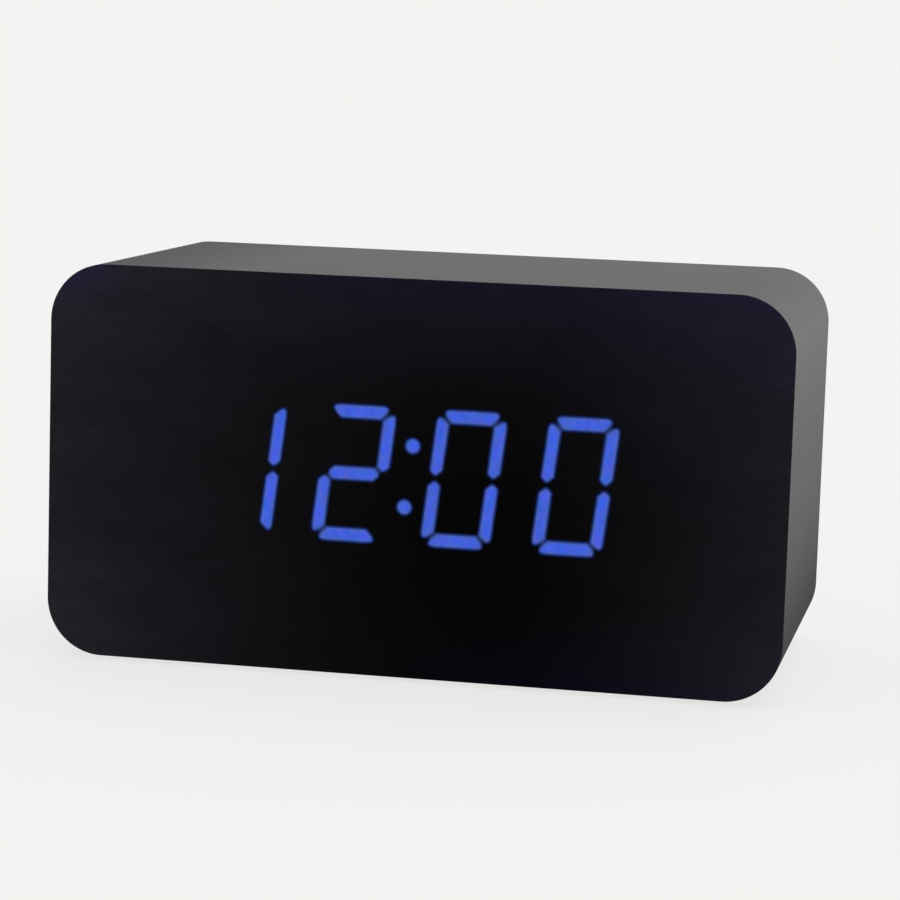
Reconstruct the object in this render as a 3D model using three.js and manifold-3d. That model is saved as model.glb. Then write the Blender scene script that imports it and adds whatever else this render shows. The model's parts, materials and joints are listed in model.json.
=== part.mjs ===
// A digital alarm clock in the form of a plain black block: a thick fibreboard case under a thin satin
// film, four slanted seven-segment digits behind the front, and a moulded rear cover that carries the
// controls and a bay for four AAA cells. Millimetres, +Z up, the front faces -Y.
import * as THREE from "three";
import { mergeVertices } from "three/addons/utils/BufferGeometryUtils.js";
import Module from "manifold-3d";

const wasm = await Module();
wasm.setup();

// The block
const caseWidth = 130;
const caseHeight = 69.2;
const caseDepth = 65;
const caseCornerRadius = 10;
const wallThickness = 9;
const cavityCornerRadius = 4;
const footHeight = 0.8;

// The display, as it shows on the front
const litSegments = ["bc", "abged", "abcdef", "abcdef"];
const digitHeight = 23.8;
const digitWidth = 12.25;
const digitPitch = 19.35;
const digitSlant = THREE.MathUtils.degToRad(6.5);
const levelThickness = 2.32;
const uprightThickness = 2.17;
const segmentGap = 0.42;
const segmentTipRadius = 0.65;
const colonDotRadius = 1.28;
const colonHalfPitch = 5.34;
const displayShiftX = -0.27;
const displayShiftZ = 0.65;

// The front layers, from the face inwards
const filmThickness = 0.5;
const frontBoardThickness = 5;
const frontLedge = 3;
const diffuserThickness = 0.6;
const flangeThickness = 2;
const circuitBoardThickness = 1.6;

// The rear cover and its door
const coverRecess = 1;
const coverThickness = 2.2;
const rearLedge = 6;
const doorThickness = 1.5;
const doorLedge = 1.5;

// The main board's width, and the rooms between it, the battery door and the case
const mainBoardWidth = 46.9;
const boardDoorGap = 3;
const boardSideGap = 2;
const boardEndGap = 3.6;

// The battery bay, which takes the rest of the width and most of the height inside the case. That
// makes it a bay for AAA cells, 10.5 mm across and 44.5 mm long
const cellCount = 4;
const cellSpacing = 0.5;
const springSpace = 3.6;
const studSpace = 1.4;
const trayWall = 1.2;
const trayEdgeGap = 1;
const trayEndGap = 2.4;
const latchLength = 6.2;
const latchWidth = 12;
const latchMargin = 1;

// Clearances and cuts
const fitClearance = 0.3;
const cutOverrun = 1;
const weldDistance = 0.0001;

// Facets
const caseCornerSides = 8;
const smallCornerSides = 3;
const tipSides = 2;
const wellTipSides = 1;
const roundSides = 18;
const pinSides = 12;
const cellSides = 16;

const frontY = -caseDepth / 2;
const rearY = caseDepth / 2;
const caseMidZ = footHeight + caseHeight / 2;
const cavityWidth = caseWidth - 2 * wallThickness;
const cavityHeight = caseHeight - 2 * wallThickness;
const filmBackY = frontY + filmThickness;
const frontBoardBackY = filmBackY + frontBoardThickness;
const flangeBackY = frontBoardBackY + flangeThickness;
const displayBoardBackY = flangeBackY + circuitBoardThickness;
const coverOuterY = rearY - coverRecess;
const coverInnerY = coverOuterY - coverThickness;

const finishes = {
  satinFilm: { color: 0x1b1b1f, roughness: 0.45, metalness: 0 },
  fibreboard: { color: 0x232326, roughness: 0.5, metalness: 0 },
  rawBoard: { color: 0x7a5c3e, roughness: 0.9, metalness: 0 },
  blueDiffuser: { color: 0x4662dc, roughness: 0.4, metalness: 0 },
  whitePlastic: { color: 0xe6e6e2, roughness: 0.5, metalness: 0 },
  blackPlastic: { color: 0x1d1d1f, roughness: 0.55, metalness: 0 },
  circuitBoard: { color: 0x1d5a34, roughness: 0.45, metalness: 0 },
  chipPlastic: { color: 0x18181a, roughness: 0.6, metalness: 0 },
  nickel: { color: 0xb9bbbd, roughness: 0.3, metalness: 1 },
  steel: { color: 0x9a9c9f, roughness: 0.35, metalness: 1 },
  cellWrap: { color: 0x3c6e9e, roughness: 0.35, metalness: 0 },
  cableGrey: { color: 0x9b9c9e, roughness: 0.6, metalness: 0 },
  redLead: { color: 0xb02a20, roughness: 0.6, metalness: 0 },
  blackLead: { color: 0x202022, roughness: 0.6, metalness: 0 },
  rubber: { color: 0x2a2a2b, roughness: 0.9, metalness: 0 },
};
for (const name of Object.keys(finishes)) {
  finishes[name] = new THREE.MeshStandardMaterial({ name, ...finishes[name] });
}

function solidOf(geometry) {
  const bare = geometry.clone();
  bare.deleteAttribute("normal");
  bare.deleteAttribute("uv");
  const merged = mergeVertices(bare, weldDistance);
  const vertProperties = new Float32Array(merged.attributes.position.array);
  const triVerts = new Uint32Array(merged.index.array);
  return new wasm.Manifold(new wasm.Mesh({ numProp: 3, vertProperties, triVerts }));
}

function geometryOf(solid) {
  const { vertProperties, triVerts } = solid.getMesh();
  const geometry = new THREE.BufferGeometry();
  geometry.setAttribute("position", new THREE.BufferAttribute(vertProperties, 3));
  geometry.setIndex(new THREE.BufferAttribute(triVerts, 1));
  geometry.computeVertexNormals();
  return geometry;
}

function join(solids) {
  return solids.reduce((whole, next) => whole.add(next));
}

function cut(solid, tools) {
  return tools.reduce((rest, tool) => rest.subtract(tool), solid);
}

// Outlines lie in the plane of the front: x to the right, y standing for height
function roundedRect(width, height, radius, midX, midZ) {
  const [x, z] = [width / 2 - radius, height / 2 - radius];
  const outline = new THREE.Shape();
  outline.absarc(midX + x, midZ + z, radius, 0, Math.PI / 2);
  outline.absarc(midX - x, midZ + z, radius, Math.PI / 2, Math.PI);
  outline.absarc(midX - x, midZ - z, radius, Math.PI, 1.5 * Math.PI);
  outline.absarc(midX + x, midZ - z, radius, 1.5 * Math.PI, 2 * Math.PI);
  return outline;
}

function rect(x0, x1, z0, z1) {
  const corners = [[x0, z0], [x1, z0], [x1, z1], [x0, z1]];
  return new THREE.Shape(corners.map(([x, z]) => new THREE.Vector2(x, z)));
}

function disc(midX, midZ, radius, sides) {
  const points = [];
  for (let i = 0; i < sides; i++) {
    const angle = (2 * Math.PI * i) / sides;
    points.push(new THREE.Vector2(midX + radius * Math.cos(angle), midZ + radius * Math.sin(angle)));
  }
  return new THREE.Shape(points);
}

// A polygon whose corners are rounded, each tip by the same radius and in as many sides
function softPolygon(corners, radius, sides) {
  const points = corners.map(([x, z]) => new THREE.Vector2(x, z));
  return new THREE.Shape(points.flatMap((corner, i) => {
    const before = points[(i + points.length - 1) % points.length].clone().sub(corner);
    const after = points[(i + 1) % points.length].clone().sub(corner);
    const reach = radius / Math.tan(before.angleTo(after) / 2);
    const start = corner.clone().add(before.setLength(Math.min(reach, before.length() / 2)));
    const end = corner.clone().add(after.setLength(Math.min(reach, after.length() / 2)));
    return new THREE.QuadraticBezierCurve(start, corner, end).getPoints(sides);
  }));
}

// An outline pushed along the depth, from one Y to the other
function slab(outline, y0, y1, curveSegments = smallCornerSides) {
  const geometry = new THREE.ExtrudeGeometry(outline, {
    depth: y1 - y0,
    bevelEnabled: false,
    curveSegments,
  });
  return geometry.rotateX(Math.PI / 2).translate(0, y1, 0);
}

function block(x0, x1, y0, y1, z0, z1) {
  const box = new THREE.BoxGeometry(x1 - x0, y1 - y0, z1 - z0);
  return solidOf(box.translate((x0 + x1) / 2, (y0 + y1) / 2, (z0 + z1) / 2));
}

function rod(midX, midZ, radius, y0, y1, sides = roundSides) {
  const cylinder = new THREE.CylinderGeometry(radius, radius, y1 - y0, sides);
  return solidOf(cylinder.translate(midX, (y0 + y1) / 2, midZ));
}

// A turned solid about the Y axis, from [radius, y] pairs that start and end on the axis
function turned(profile, sides = roundSides) {
  return new THREE.LatheGeometry(profile.map(([radius, y]) => new THREE.Vector2(radius, y)), sides);
}

const clock = new THREE.Group();

function addPiece(name, shape, finish, parent = clock) {
  const geometry = shape.isBufferGeometry ? shape : geometryOf(shape);
  const mesh = new THREE.Mesh(geometry, finishes[finish]);
  mesh.name = name;
  parent.add(mesh);
  return mesh;
}

// The digits: outlines of the seven segments about the middle of an upright digit, with bevelled
// ends that leave the same gap everywhere, then leaned over by the slant
const displayMidX = displayShiftX;
const displayMidZ = caseMidZ + displayShiftZ;
const colonMargin = 0.5;
const diffuserMargin = 0.8;

function segmentOutlines() {
  const halfWidth = digitWidth / 2;
  const halfHeight = digitHeight / 2;
  const thick = levelThickness;
  const half = levelThickness / 2;
  const wide = uprightThickness;
  const middleX = halfWidth - uprightThickness / 2;
  const back = segmentGap / Math.SQRT2;
  const level = [
    [-halfWidth + back, halfHeight],
    [halfWidth - back, halfHeight],
    [halfWidth - thick - back, halfHeight - thick],
    [-halfWidth + thick + back, halfHeight - thick],
  ];
  const upright = [
    [-halfWidth, halfHeight - back],
    [-halfWidth + wide, halfHeight - wide - back],
    [-halfWidth + wide, wide / 2 + back],
    [-middleX, back],
    [-halfWidth, wide / 2 + back],
  ];
  const middle = [
    [-middleX + back, 0],
    [-middleX + half + back, half],
    [middleX - half - back, half],
    [middleX - back, 0],
    [middleX - half - back, -half],
    [-middleX + half + back, -half],
  ];
  const mirrored = (points, signX, signZ) => points.map(([x, z]) => [signX * x, signZ * z]);
  return {
    a: level,
    b: mirrored(upright, -1, 1),
    c: mirrored(upright, -1, -1),
    d: mirrored(level, 1, -1),
    e: mirrored(upright, 1, -1),
    f: upright,
    g: middle,
  };
}

const segments = segmentOutlines();
const lean = Math.tan(digitSlant);
const digitNumbers = [0, 1, 2, 3];

function digitX(index) {
  return displayMidX + (index - (digitNumbers.length - 1) / 2) * digitPitch;
}

function leaned(points, midX, radius = segmentTipRadius, sides = tipSides) {
  const corners = points.map(([x, z]) => [midX + x + z * lean, displayMidZ + z]);
  return softPolygon(corners, radius, sides);
}

// The same outline a clearance larger all round, from its corners moved out along their bisectors
function grown(points, by) {
  const corners = points.map(([x, z]) => new THREE.Vector2(x, z));
  const turn = THREE.ShapeUtils.area(corners) > 0 ? 1 : -1;
  return corners.map((corner, i) => {
    const before = corner.clone().sub(corners[(i + corners.length - 1) % corners.length]).normalize();
    const after = corners[(i + 1) % corners.length].clone().sub(corner).normalize();
    const outBefore = new THREE.Vector2(before.y, -before.x).multiplyScalar(turn);
    const outAfter = new THREE.Vector2(after.y, -after.x).multiplyScalar(turn);
    const bisector = outBefore.add(outAfter);
    const moved = corner.clone().addScaledVector(bisector, (2 * by) / bisector.lengthSq());
    return [moved.x, moved.y];
  });
}

const windowClearance = 0.12;
const dotPlaces = [-1, 1].map((side) => [
  displayMidX + side * colonHalfPitch * lean,
  displayMidZ + side * colonHalfPitch,
]);

// The aperture behind the film that takes the display's housing
const windowMargin = 2;
const windowWidth =
  (digitNumbers.length - 1) * digitPitch + digitWidth + digitHeight * lean + 2 * windowMargin;
const windowHeight = digitHeight + 2 * windowMargin;
const windowCornerRadius = 1.2;
const flangeLedge = 4.6;
const flangeWidth = windowWidth + 2 * flangeLedge;
const flangeHeight = windowHeight + 2 * flangeLedge;
const flangeCornerRadius = 2;

function onCorners(halfWidth, halfHeight, midX, midZ) {
  return [[-1, -1], [1, -1], [1, 1], [-1, 1]].map(([sideX, sideZ]) => [
    midX + sideX * halfWidth,
    midZ + sideZ * halfHeight,
  ]);
}

// Screws stand on the Y axis with the underside of the head at zero and the point towards -Y
const screw = {
  cover: { radius: 1.3, length: 9, headRadius: 2.6, headHeight: 1.3 },
  board: { radius: 0.95, length: 4.4, headRadius: 1.9, headHeight: 1.2 },
  display: { radius: 0.95, length: 7.2, headRadius: 1.9, headHeight: 1.2 },
};
const recessWidth = 0.6;
const recessDepth = 0.7;
const recessReachShare = 0.65;
const headEdgeShare = 0.8;
const pointLength = 1.4;

function screwSolid({ radius, length, headRadius, headHeight }) {
  const profile = [
    [0, -length],
    [radius, -length + pointLength],
    [radius, 0],
    [headRadius, 0],
    [headRadius * headEdgeShare, headHeight],
    [0, headHeight],
  ];
  const reach = headRadius * recessReachShare;
  const floor = headHeight - recessDepth;
  const top = headHeight + cutOverrun;
  return cut(solidOf(turned(profile, pinSides)), [
    block(-reach, reach, floor, top, -recessWidth / 2, recessWidth / 2),
    block(-recessWidth / 2, recessWidth / 2, floor, top, -reach, reach),
  ]);
}

function addScrews(name, kind, places, y, turnedRound = false) {
  places.forEach(([x, z], i) => {
    const mesh = addPiece(`${name}_${i + 1}`, screwSolid(screw[kind]), "steel");
    mesh.position.set(x, y, z);
    if (turnedRound) mesh.rotation.z = Math.PI;
  });
}

const rearRim = wallThickness - rearLedge;
const coverScrewInset = 2.5;
const coverScrewPlaces = onCorners(
  cavityWidth / 2 + rearLedge / 2,
  cavityHeight / 2 - coverScrewInset,
  0,
  caseMidZ,
);
const displayScrewPlaces = onCorners(
  windowWidth / 2 + flangeLedge / 2,
  windowHeight / 2,
  displayMidX,
  displayMidZ,
);

function inset(width, height, radius, by, midX = 0, midZ = caseMidZ) {
  return roundedRect(width - 2 * by, height - 2 * by, Math.max(radius - by, fitClearance), midX, midZ);
}

function caseShell() {
  const outline = inset(caseWidth, caseHeight, caseCornerRadius, 0);
  const cavity = roundedRect(cavityWidth, cavityHeight, cavityCornerRadius, 0, caseMidZ);
  const frontRim = wallThickness - frontLedge;
  const frontSeat = inset(caseWidth, caseHeight, caseCornerRadius, frontRim);
  const rearSeat = inset(caseWidth, caseHeight, caseCornerRadius, rearRim);
  const pilotDepth = screw.cover.length + cutOverrun;
  return cut(solidOf(slab(outline, filmBackY, rearY, caseCornerSides)), [
    solidOf(slab(cavity, filmBackY - cutOverrun, rearY + cutOverrun)),
    solidOf(slab(frontSeat, filmBackY - cutOverrun, frontBoardBackY)),
    solidOf(slab(rearSeat, coverInnerY, rearY + cutOverrun)),
    ...coverScrewPlaces.map(([x, z]) =>
      rod(x, z, screw.cover.radius + fitClearance, coverInnerY - pilotDepth, coverInnerY + cutOverrun,
        pinSides),
    ),
  ]);
}

function frontBoard() {
  const frontRim = wallThickness - frontLedge + fitClearance;
  const outline = inset(caseWidth, caseHeight, caseCornerRadius, frontRim);
  outline.holes.push(
    roundedRect(windowWidth, windowHeight, windowCornerRadius, displayMidX, displayMidZ),
  );
  const board = solidOf(slab(outline, filmBackY, frontBoardBackY));
  const pilotDepth = screw.display.length - circuitBoardThickness - flangeThickness + fitClearance;
  return cut(board, displayScrewPlaces.map(([x, z]) =>
    rod(x, z, screw.display.radius + fitClearance, frontBoardBackY - pilotDepth,
      frontBoardBackY + cutOverrun, pinSides),
  ));
}

function frontFilm() {
  const outline = inset(caseWidth, caseHeight, caseCornerRadius, 0);
  litSegments.forEach((lit, index) => {
    for (const letter of lit) {
      const edge = grown(segments[letter], windowClearance);
      outline.holes.push(leaned(edge, digitX(index), segmentTipRadius + windowClearance));
    }
  });
  for (const [x, z] of dotPlaces) {
    outline.holes.push(disc(x, z, colonDotRadius + windowClearance, pinSides));
  }
  return slab(outline, frontY, filmBackY, caseCornerSides);
}

function digitDiffuser(index) {
  const plate = grown([
    [-digitWidth / 2, -digitHeight / 2],
    [digitWidth / 2, -digitHeight / 2],
    [digitWidth / 2, digitHeight / 2],
    [-digitWidth / 2, digitHeight / 2],
  ], diffuserMargin);
  const plateBackY = filmBackY + diffuserThickness;
  const pads = [...litSegments[index]].map((letter) =>
    solidOf(slab(leaned(segments[letter], digitX(index)), frontY, plateBackY)),
  );
  return join([solidOf(slab(leaned(plate, digitX(index)), filmBackY, plateBackY)), ...pads]);
}

function colonDiffuser() {
  const halfWidth = colonDotRadius + colonMargin;
  const halfHeight = digitHeight / 2 + diffuserMargin;
  const plate = [
    [-halfWidth, -halfHeight],
    [halfWidth, -halfHeight],
    [halfWidth, halfHeight],
    [-halfWidth, halfHeight],
  ];
  const plateBackY = filmBackY + diffuserThickness;
  return join([
    solidOf(slab(leaned(plate, displayMidX), filmBackY, plateBackY)),
    ...dotPlaces.map(([x, z]) => rod(x, z, colonDotRadius, frontY, plateBackY, pinSides)),
  ]);
}

// The housing: a frame that fills the aperture behind the diffusers, with a well for each segment
// and dot, and a flange against the back of the front board
function reflectorHousing() {
  const body = inset(
    windowWidth, windowHeight, windowCornerRadius, fitClearance, displayMidX, displayMidZ,
  );
  const flange = roundedRect(flangeWidth, flangeHeight, flangeCornerRadius, displayMidX, displayMidZ);
  const wells = digitNumbers.flatMap((index) =>
    Object.values(segments).map((points) =>
      leaned(points, digitX(index), segmentTipRadius, wellTipSides),
    ),
  );
  wells.push(...dotPlaces.map(([x, z]) => disc(x, z, colonDotRadius, pinSides)));
  for (const [x, z] of displayScrewPlaces) {
    flange.holes.push(disc(x, z, screw.display.radius + fitClearance, pinSides));
  }
  const frame = join([
    solidOf(slab(body, filmBackY + diffuserThickness, flangeBackY, tipSides)),
    solidOf(slab(flange, frontBoardBackY, flangeBackY, tipSides)),
  ]);
  return cut(frame, [solidOf(slab(wells, filmBackY, flangeBackY + cutOverrun))]);
}

// The board behind the housing, with one light-emitting chip in each well
const ledLength = 1.5;
const ledHeight = 0.7;
const ledDepth = 0.6;

function displayBoard() {
  const outline = roundedRect(flangeWidth, flangeHeight, flangeCornerRadius, displayMidX, displayMidZ);
  for (const [x, z] of displayScrewPlaces) {
    outline.holes.push(disc(x, z, screw.display.radius + fitClearance, pinSides));
  }
  const chipAt = (x, z) => block(
    x - ledLength / 2, x + ledLength / 2,
    flangeBackY - ledDepth, flangeBackY + circuitBoardThickness / 2,
    z - ledHeight / 2, z + ledHeight / 2,
  );
  const chips = dotPlaces.map(([x, z]) => chipAt(x, z));
  for (const index of digitNumbers) {
    for (const points of Object.values(segments)) {
      const z = points.reduce((sum, point) => sum + point[1], 0) / points.length;
      const x = points.reduce((sum, point) => sum + point[0], 0) / points.length;
      chips.push(chipAt(digitX(index) + x + z * lean, displayMidZ + z));
    }
  }
  return join([solidOf(slab(outline, flangeBackY, displayBoardBackY)), ...chips]);
}

// A packaged chip flat on a board whose face is at boardY, on the side that faceSign points to
const leadPitch = 1.27;
const leadWidth = 0.45;
const leadReach = 0.9;
const leadThickness = 0.25;

function packagedChip(midX, midZ, lengthX, widthZ, height, leadCount, boardY, faceSign, fourSides) {
  const span = (near, far) => [boardY + faceSign * near, boardY + faceSign * far].sort((a, b) => a - b);
  const [bodyLow, bodyHigh] = span(leadThickness, height);
  const [leadLow, leadHigh] = span(0, 2 * leadThickness);
  const solids = [block(
    midX - lengthX / 2, midX + lengthX / 2, bodyLow, bodyHigh, midZ - widthZ / 2, midZ + widthZ / 2,
  )];
  const lead = (x, z, halfX, halfZ) =>
    block(x - halfX, x + halfX, leadLow, leadHigh, z - halfZ, z + halfZ);
  for (let i = 0; i < leadCount; i++) {
    const along = (i - (leadCount - 1) / 2) * leadPitch;
    for (const side of [-1, 1]) {
      solids.push(lead(midX + along, midZ + (side * widthZ) / 2, leadWidth / 2, leadReach));
      if (fourSides) {
        solids.push(lead(midX + (side * lengthX) / 2, midZ + along, leadReach, leadWidth / 2));
      }
    }
  }
  return join(solids);
}

const driver = { length: 16, width: 7.5, height: 2.3, leads: 9, shiftX: 16 };

function displayDriver() {
  return packagedChip(
    displayMidX - driver.shiftX, displayMidZ, driver.length, driver.width, driver.height,
    driver.leads, displayBoardBackY, 1, false,
  );
}

// The places along the width, from the main board at the right to the battery bay at the left
const mainBoardRightX = cavityWidth / 2 - boardSideGap;
const mainBoardLeftX = mainBoardRightX - mainBoardWidth;
const mainBoardMidX = (mainBoardLeftX + mainBoardRightX) / 2;
const doorRightX = mainBoardLeftX - boardDoorGap;
const trayRightX = doorRightX - latchMargin - latchLength - trayWall;
const trayLeftX = -cavityWidth / 2 + trayEdgeGap + trayWall;
const cellLength = trayRightX - trayLeftX - springSpace - studSpace;
const trayBottomZ = caseMidZ - cavityHeight / 2 + trayEndGap + trayWall;
const trayTopZ = caseMidZ + cavityHeight / 2 - trayEndGap - trayWall;
const cellPitch = (trayTopZ - trayBottomZ) / cellCount;
const cellDiameter = cellPitch - cellSpacing;
const cellDoorGap = 0.5;
const cellMidY = coverOuterY - doorThickness - cellDoorGap - cellDiameter / 2;
const trayFloorY = cellMidY - cellDiameter / 2 - fitClearance;

function cellZ(index) {
  return trayBottomZ + (index + 0.5) * cellPitch;
}

// The door: its left edge turns, its right edge carries the latch
const doorLeftX = trayLeftX - doorLedge + fitClearance;
const doorBottomZ = trayBottomZ - doorLedge + fitClearance;
const doorTopZ = trayTopZ + doorLedge - fitClearance;
const tongueWidth = 4;
const tongueThickness = 0.9;
const tongueClearance = 0.5;
const tongueReach = 1.3;
const tonguePlaces = [-1, 1].map((side) => caseMidZ + side * cellPitch);
const webX = doorLeftX + doorLedge;
const tongueOuterY = coverInnerY - tongueClearance;
const tongueInnerY = tongueOuterY - tongueThickness;

// The main board and what stands on it
const buttonNames = ["set", "up", "down"];
const buttonRadius = 3;
const buttonPitch = 13;
const buttonRise = 11;
const buttonFlangeRadius = 4.2;
const buttonFlangeThickness = 1;
const buttonProud = 0.7;
const plungerRadius = 1.7;
const plungerReach = 1.5;
const plungerSink = 1.4;
const switchSize = 6;
const switchHeight = 3.5;
const buttonTravel = 0.5;
const standoffHeight = fitClearance + buttonFlangeThickness + plungerReach + switchHeight;
const mainBoardRearY = coverInnerY - standoffHeight;
const mainBoardFrontY = mainBoardRearY - circuitBoardThickness;
const mainBoardBottomZ = caseMidZ - cavityHeight / 2 + boardEndGap;
const mainBoardTopZ = caseMidZ + cavityHeight / 2 - boardEndGap;
const boardScrewInset = 3.5;
const boardScrewPlaces = [
  [mainBoardLeftX + boardScrewInset, mainBoardTopZ - boardScrewInset],
  [mainBoardRightX - boardScrewInset, mainBoardTopZ - boardScrewInset],
  [mainBoardMidX, mainBoardBottomZ + boardScrewInset],
];
const bossRadius = 2.6;
const buttonPlaces = buttonNames.map((name, i) => [
  mainBoardMidX + (i - 1) * buttonPitch,
  caseMidZ + buttonRise,
]);

// The socket for a plug-in supply, and the sounder beside it
const lowerRowDrop = 10.5;
const lowerRowSpread = 12.5;
const socketSize = 8.5;
const socketNoseRadius = 3.6;
const socketBoreRadius = 1.8;
const socketPinRadius = 0.6;
const socketFloor = 1.6;
const socketPinDrop = 1.2;
const socketX = mainBoardMidX - lowerRowSpread;
const socketZ = caseMidZ - lowerRowDrop;
const buzzerRadius = 6;
const buzzerHeight = 5.2;
const buzzerHoleRadius = 1;
const buzzerX = mainBoardMidX + lowerRowSpread;
const buzzerZ = caseMidZ - lowerRowDrop;
const slotCount = 4;
const slotPitch = 2.8;
const slotWidth = 1.2;
const slotLength = 9;

function rearCover() {
  const plateOutline = inset(caseWidth, caseHeight, caseCornerRadius, rearRim + fitClearance);
  const plate = solidOf(slab(plateOutline, coverInnerY, coverOuterY));
  const tray = block(
    trayLeftX - trayWall, trayRightX + trayWall, trayFloorY - trayWall, coverInnerY + cutOverrun,
    trayBottomZ - trayWall, trayTopZ + trayWall,
  );
  const bosses = boardScrewPlaces.map(([x, z]) =>
    rod(x, z, bossRadius, mainBoardRearY, coverInnerY + coverThickness / 2, pinSides),
  );
  const doorSeat = block(
    doorLeftX - fitClearance, doorRightX + fitClearance,
    coverOuterY - doorThickness, coverOuterY + cutOverrun,
    doorBottomZ - fitClearance, doorTopZ + fitClearance,
  );
  const bay = block(
    trayLeftX, trayRightX, trayFloorY, coverOuterY + cutOverrun, trayBottomZ, trayTopZ,
  );
  const latchHalf = latchWidth / 2 + fitClearance;
  const latchPocket = block(
    doorRightX - latchLength - fitClearance, doorRightX + fitClearance - doorLedge,
    coverInnerY - cutOverrun, coverOuterY, caseMidZ - latchHalf, caseMidZ + latchHalf,
  );
  const tongueSlots = tonguePlaces.map((z) => block(
    trayLeftX - trayWall - cutOverrun, trayLeftX + cutOverrun,
    tongueInnerY - tongueClearance, coverInnerY,
    z - tongueWidth / 2 - fitClearance, z + tongueWidth / 2 + fitClearance,
  ));
  const throughHoles = [
    ...coverScrewPlaces.map(([x, z]) => [x, z, screw.cover.radius + fitClearance]),
    ...buttonPlaces.map(([x, z]) => [x, z, buttonRadius + fitClearance]),
    [socketX, socketZ, socketNoseRadius + fitClearance],
  ].map(([x, z, radius]) =>
    rod(x, z, radius, coverInnerY - cutOverrun, coverOuterY + cutOverrun),
  );
  const counterbores = coverScrewPlaces.map(([x, z]) =>
    rod(x, z, screw.cover.headRadius + fitClearance, coverOuterY - screw.cover.headHeight,
      coverOuterY + cutOverrun),
  );
  const pilots = boardScrewPlaces.map(([x, z]) =>
    rod(x, z, screw.board.radius + fitClearance, mainBoardRearY - cutOverrun,
      mainBoardRearY + screw.board.length - circuitBoardThickness + fitClearance, pinSides),
  );
  const soundSlots = [];
  for (let i = 0; i < slotCount; i++) {
    const x = buzzerX + (i - (slotCount - 1) / 2) * slotPitch;
    const outline = roundedRect(slotWidth, slotLength, slotWidth / 2, x, buzzerZ);
    soundSlots.push(
      solidOf(slab(outline, coverInnerY - cutOverrun, coverOuterY + cutOverrun, tipSides)),
    );
  }
  const tabSlots = terminalPlaces.map((z) => block(
    trayRightX - contactThickness - fitClearance, trayRightX,
    trayFloorY - trayWall - cutOverrun, trayFloorY + cutOverrun,
    z - tabWidth / 2 - fitClearance, z + tabWidth / 2 + fitClearance,
  ));
  return cut(join([plate, tray, ...bosses]), [
    doorSeat, bay, latchPocket, ...tongueSlots, ...throughHoles, ...counterbores, ...pilots,
    ...soundSlots, ...tabSlots,
  ]);
}

function batteryDoor() {
  const plate = block(
    doorLeftX, doorRightX, coverOuterY - doorThickness, coverOuterY, doorBottomZ, doorTopZ,
  );
  const notchHalf = latchWidth / 2 + fitClearance;
  const notch = block(
    doorRightX - latchLength, doorRightX + cutOverrun,
    coverOuterY - doorThickness - cutOverrun, coverOuterY + cutOverrun,
    caseMidZ - notchHalf, caseMidZ + notchHalf,
  );
  const tongues = tonguePlaces.flatMap((z) => {
    const [z0, z1] = [z - tongueWidth / 2, z + tongueWidth / 2];
    return [
      block(webX, webX + tongueThickness, tongueInnerY, coverOuterY - doorThickness / 2, z0, z1),
      block(webX - tongueReach, webX + tongueThickness, tongueInnerY, tongueOuterY, z0, z1),
    ];
  });
  return join([cut(plate, [notch]), ...tongues]);
}

// The latch: a bent tongue of the door's plastic, with a finger tab level with the door's face and a
// hook behind the cover's edge
const latchThickness = 0.9;
const latchLegDepth = 3.6;
const hookReach = 0.9;
const hookThickness = 1.1;
const bendSides = 6;

function doorLatch() {
  const legX = latchLength - doorLedge;
  const bendRadius = legX / 2;
  const hookNear = coverThickness + fitClearance;
  const outline = new THREE.Shape();
  outline.moveTo(0, 0);
  outline.lineTo(latchThickness, 0);
  outline.lineTo(latchThickness, latchLegDepth);
  outline.absarc(bendRadius, latchLegDepth, bendRadius - latchThickness, Math.PI, 0, true);
  outline.lineTo(legX - latchThickness, 0);
  outline.lineTo(latchLength, 0);
  outline.lineTo(latchLength, doorThickness - fitClearance);
  outline.lineTo(legX, doorThickness - fitClearance);
  outline.lineTo(legX, hookNear);
  outline.lineTo(legX + hookReach, hookNear);
  outline.lineTo(legX, hookNear + hookThickness);
  outline.lineTo(legX, latchLegDepth);
  outline.absarc(bendRadius, latchLegDepth, bendRadius, 0, Math.PI, false);
  outline.closePath();
  const geometry = new THREE.ExtrudeGeometry(outline, {
    depth: latchWidth,
    bevelEnabled: false,
    curveSegments: bendSides,
  });
  // Turned over, so that the outline's second axis points from the door's face into the case
  geometry.rotateX(Math.PI);
  return geometry.translate(doorRightX - latchLength, coverOuterY, caseMidZ + latchWidth / 2);
}

// The contacts: sheet-metal plates against the bay's end walls, with a conical spring at each
// negative end and a stud at each positive one
const contactThickness = 0.4;
const contactTongueGap = 0.15;
const contactSize = 2 * (tongueInnerY - contactTongueGap - cellMidY);
const wireRadius = 0.25;
const springBaseRadius = 0.44 * contactSize;
const springTipRadius = 0.24 * contactSize;
const springTurns = 3;
const springSteps = 8;
const wireSides = 5;
const studBaseRadius = 0.34 * contactSize;
const studTipRadius = 0.21 * contactSize;
const tabWidth = 3;
const tabReach = 2.4;
const terminalPlaces = [cellZ(0), cellZ(cellCount - 1)];

function spring(length) {
  const points = [];
  const count = springTurns * springSteps;
  for (let i = 0; i <= count; i++) {
    const share = i / count;
    const angle = 2 * Math.PI * springTurns * share;
    const radius = THREE.MathUtils.lerp(springBaseRadius, springTipRadius, share);
    points.push(new THREE.Vector3(
      (length - wireRadius) * share, radius * Math.cos(angle), radius * Math.sin(angle),
    ));
  }
  return new THREE.ExtrudeGeometry(disc(0, 0, wireRadius, wireSides), {
    steps: count,
    bevelEnabled: false,
    extrudePath: new THREE.CatmullRomCurve3(points),
  });
}

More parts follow.
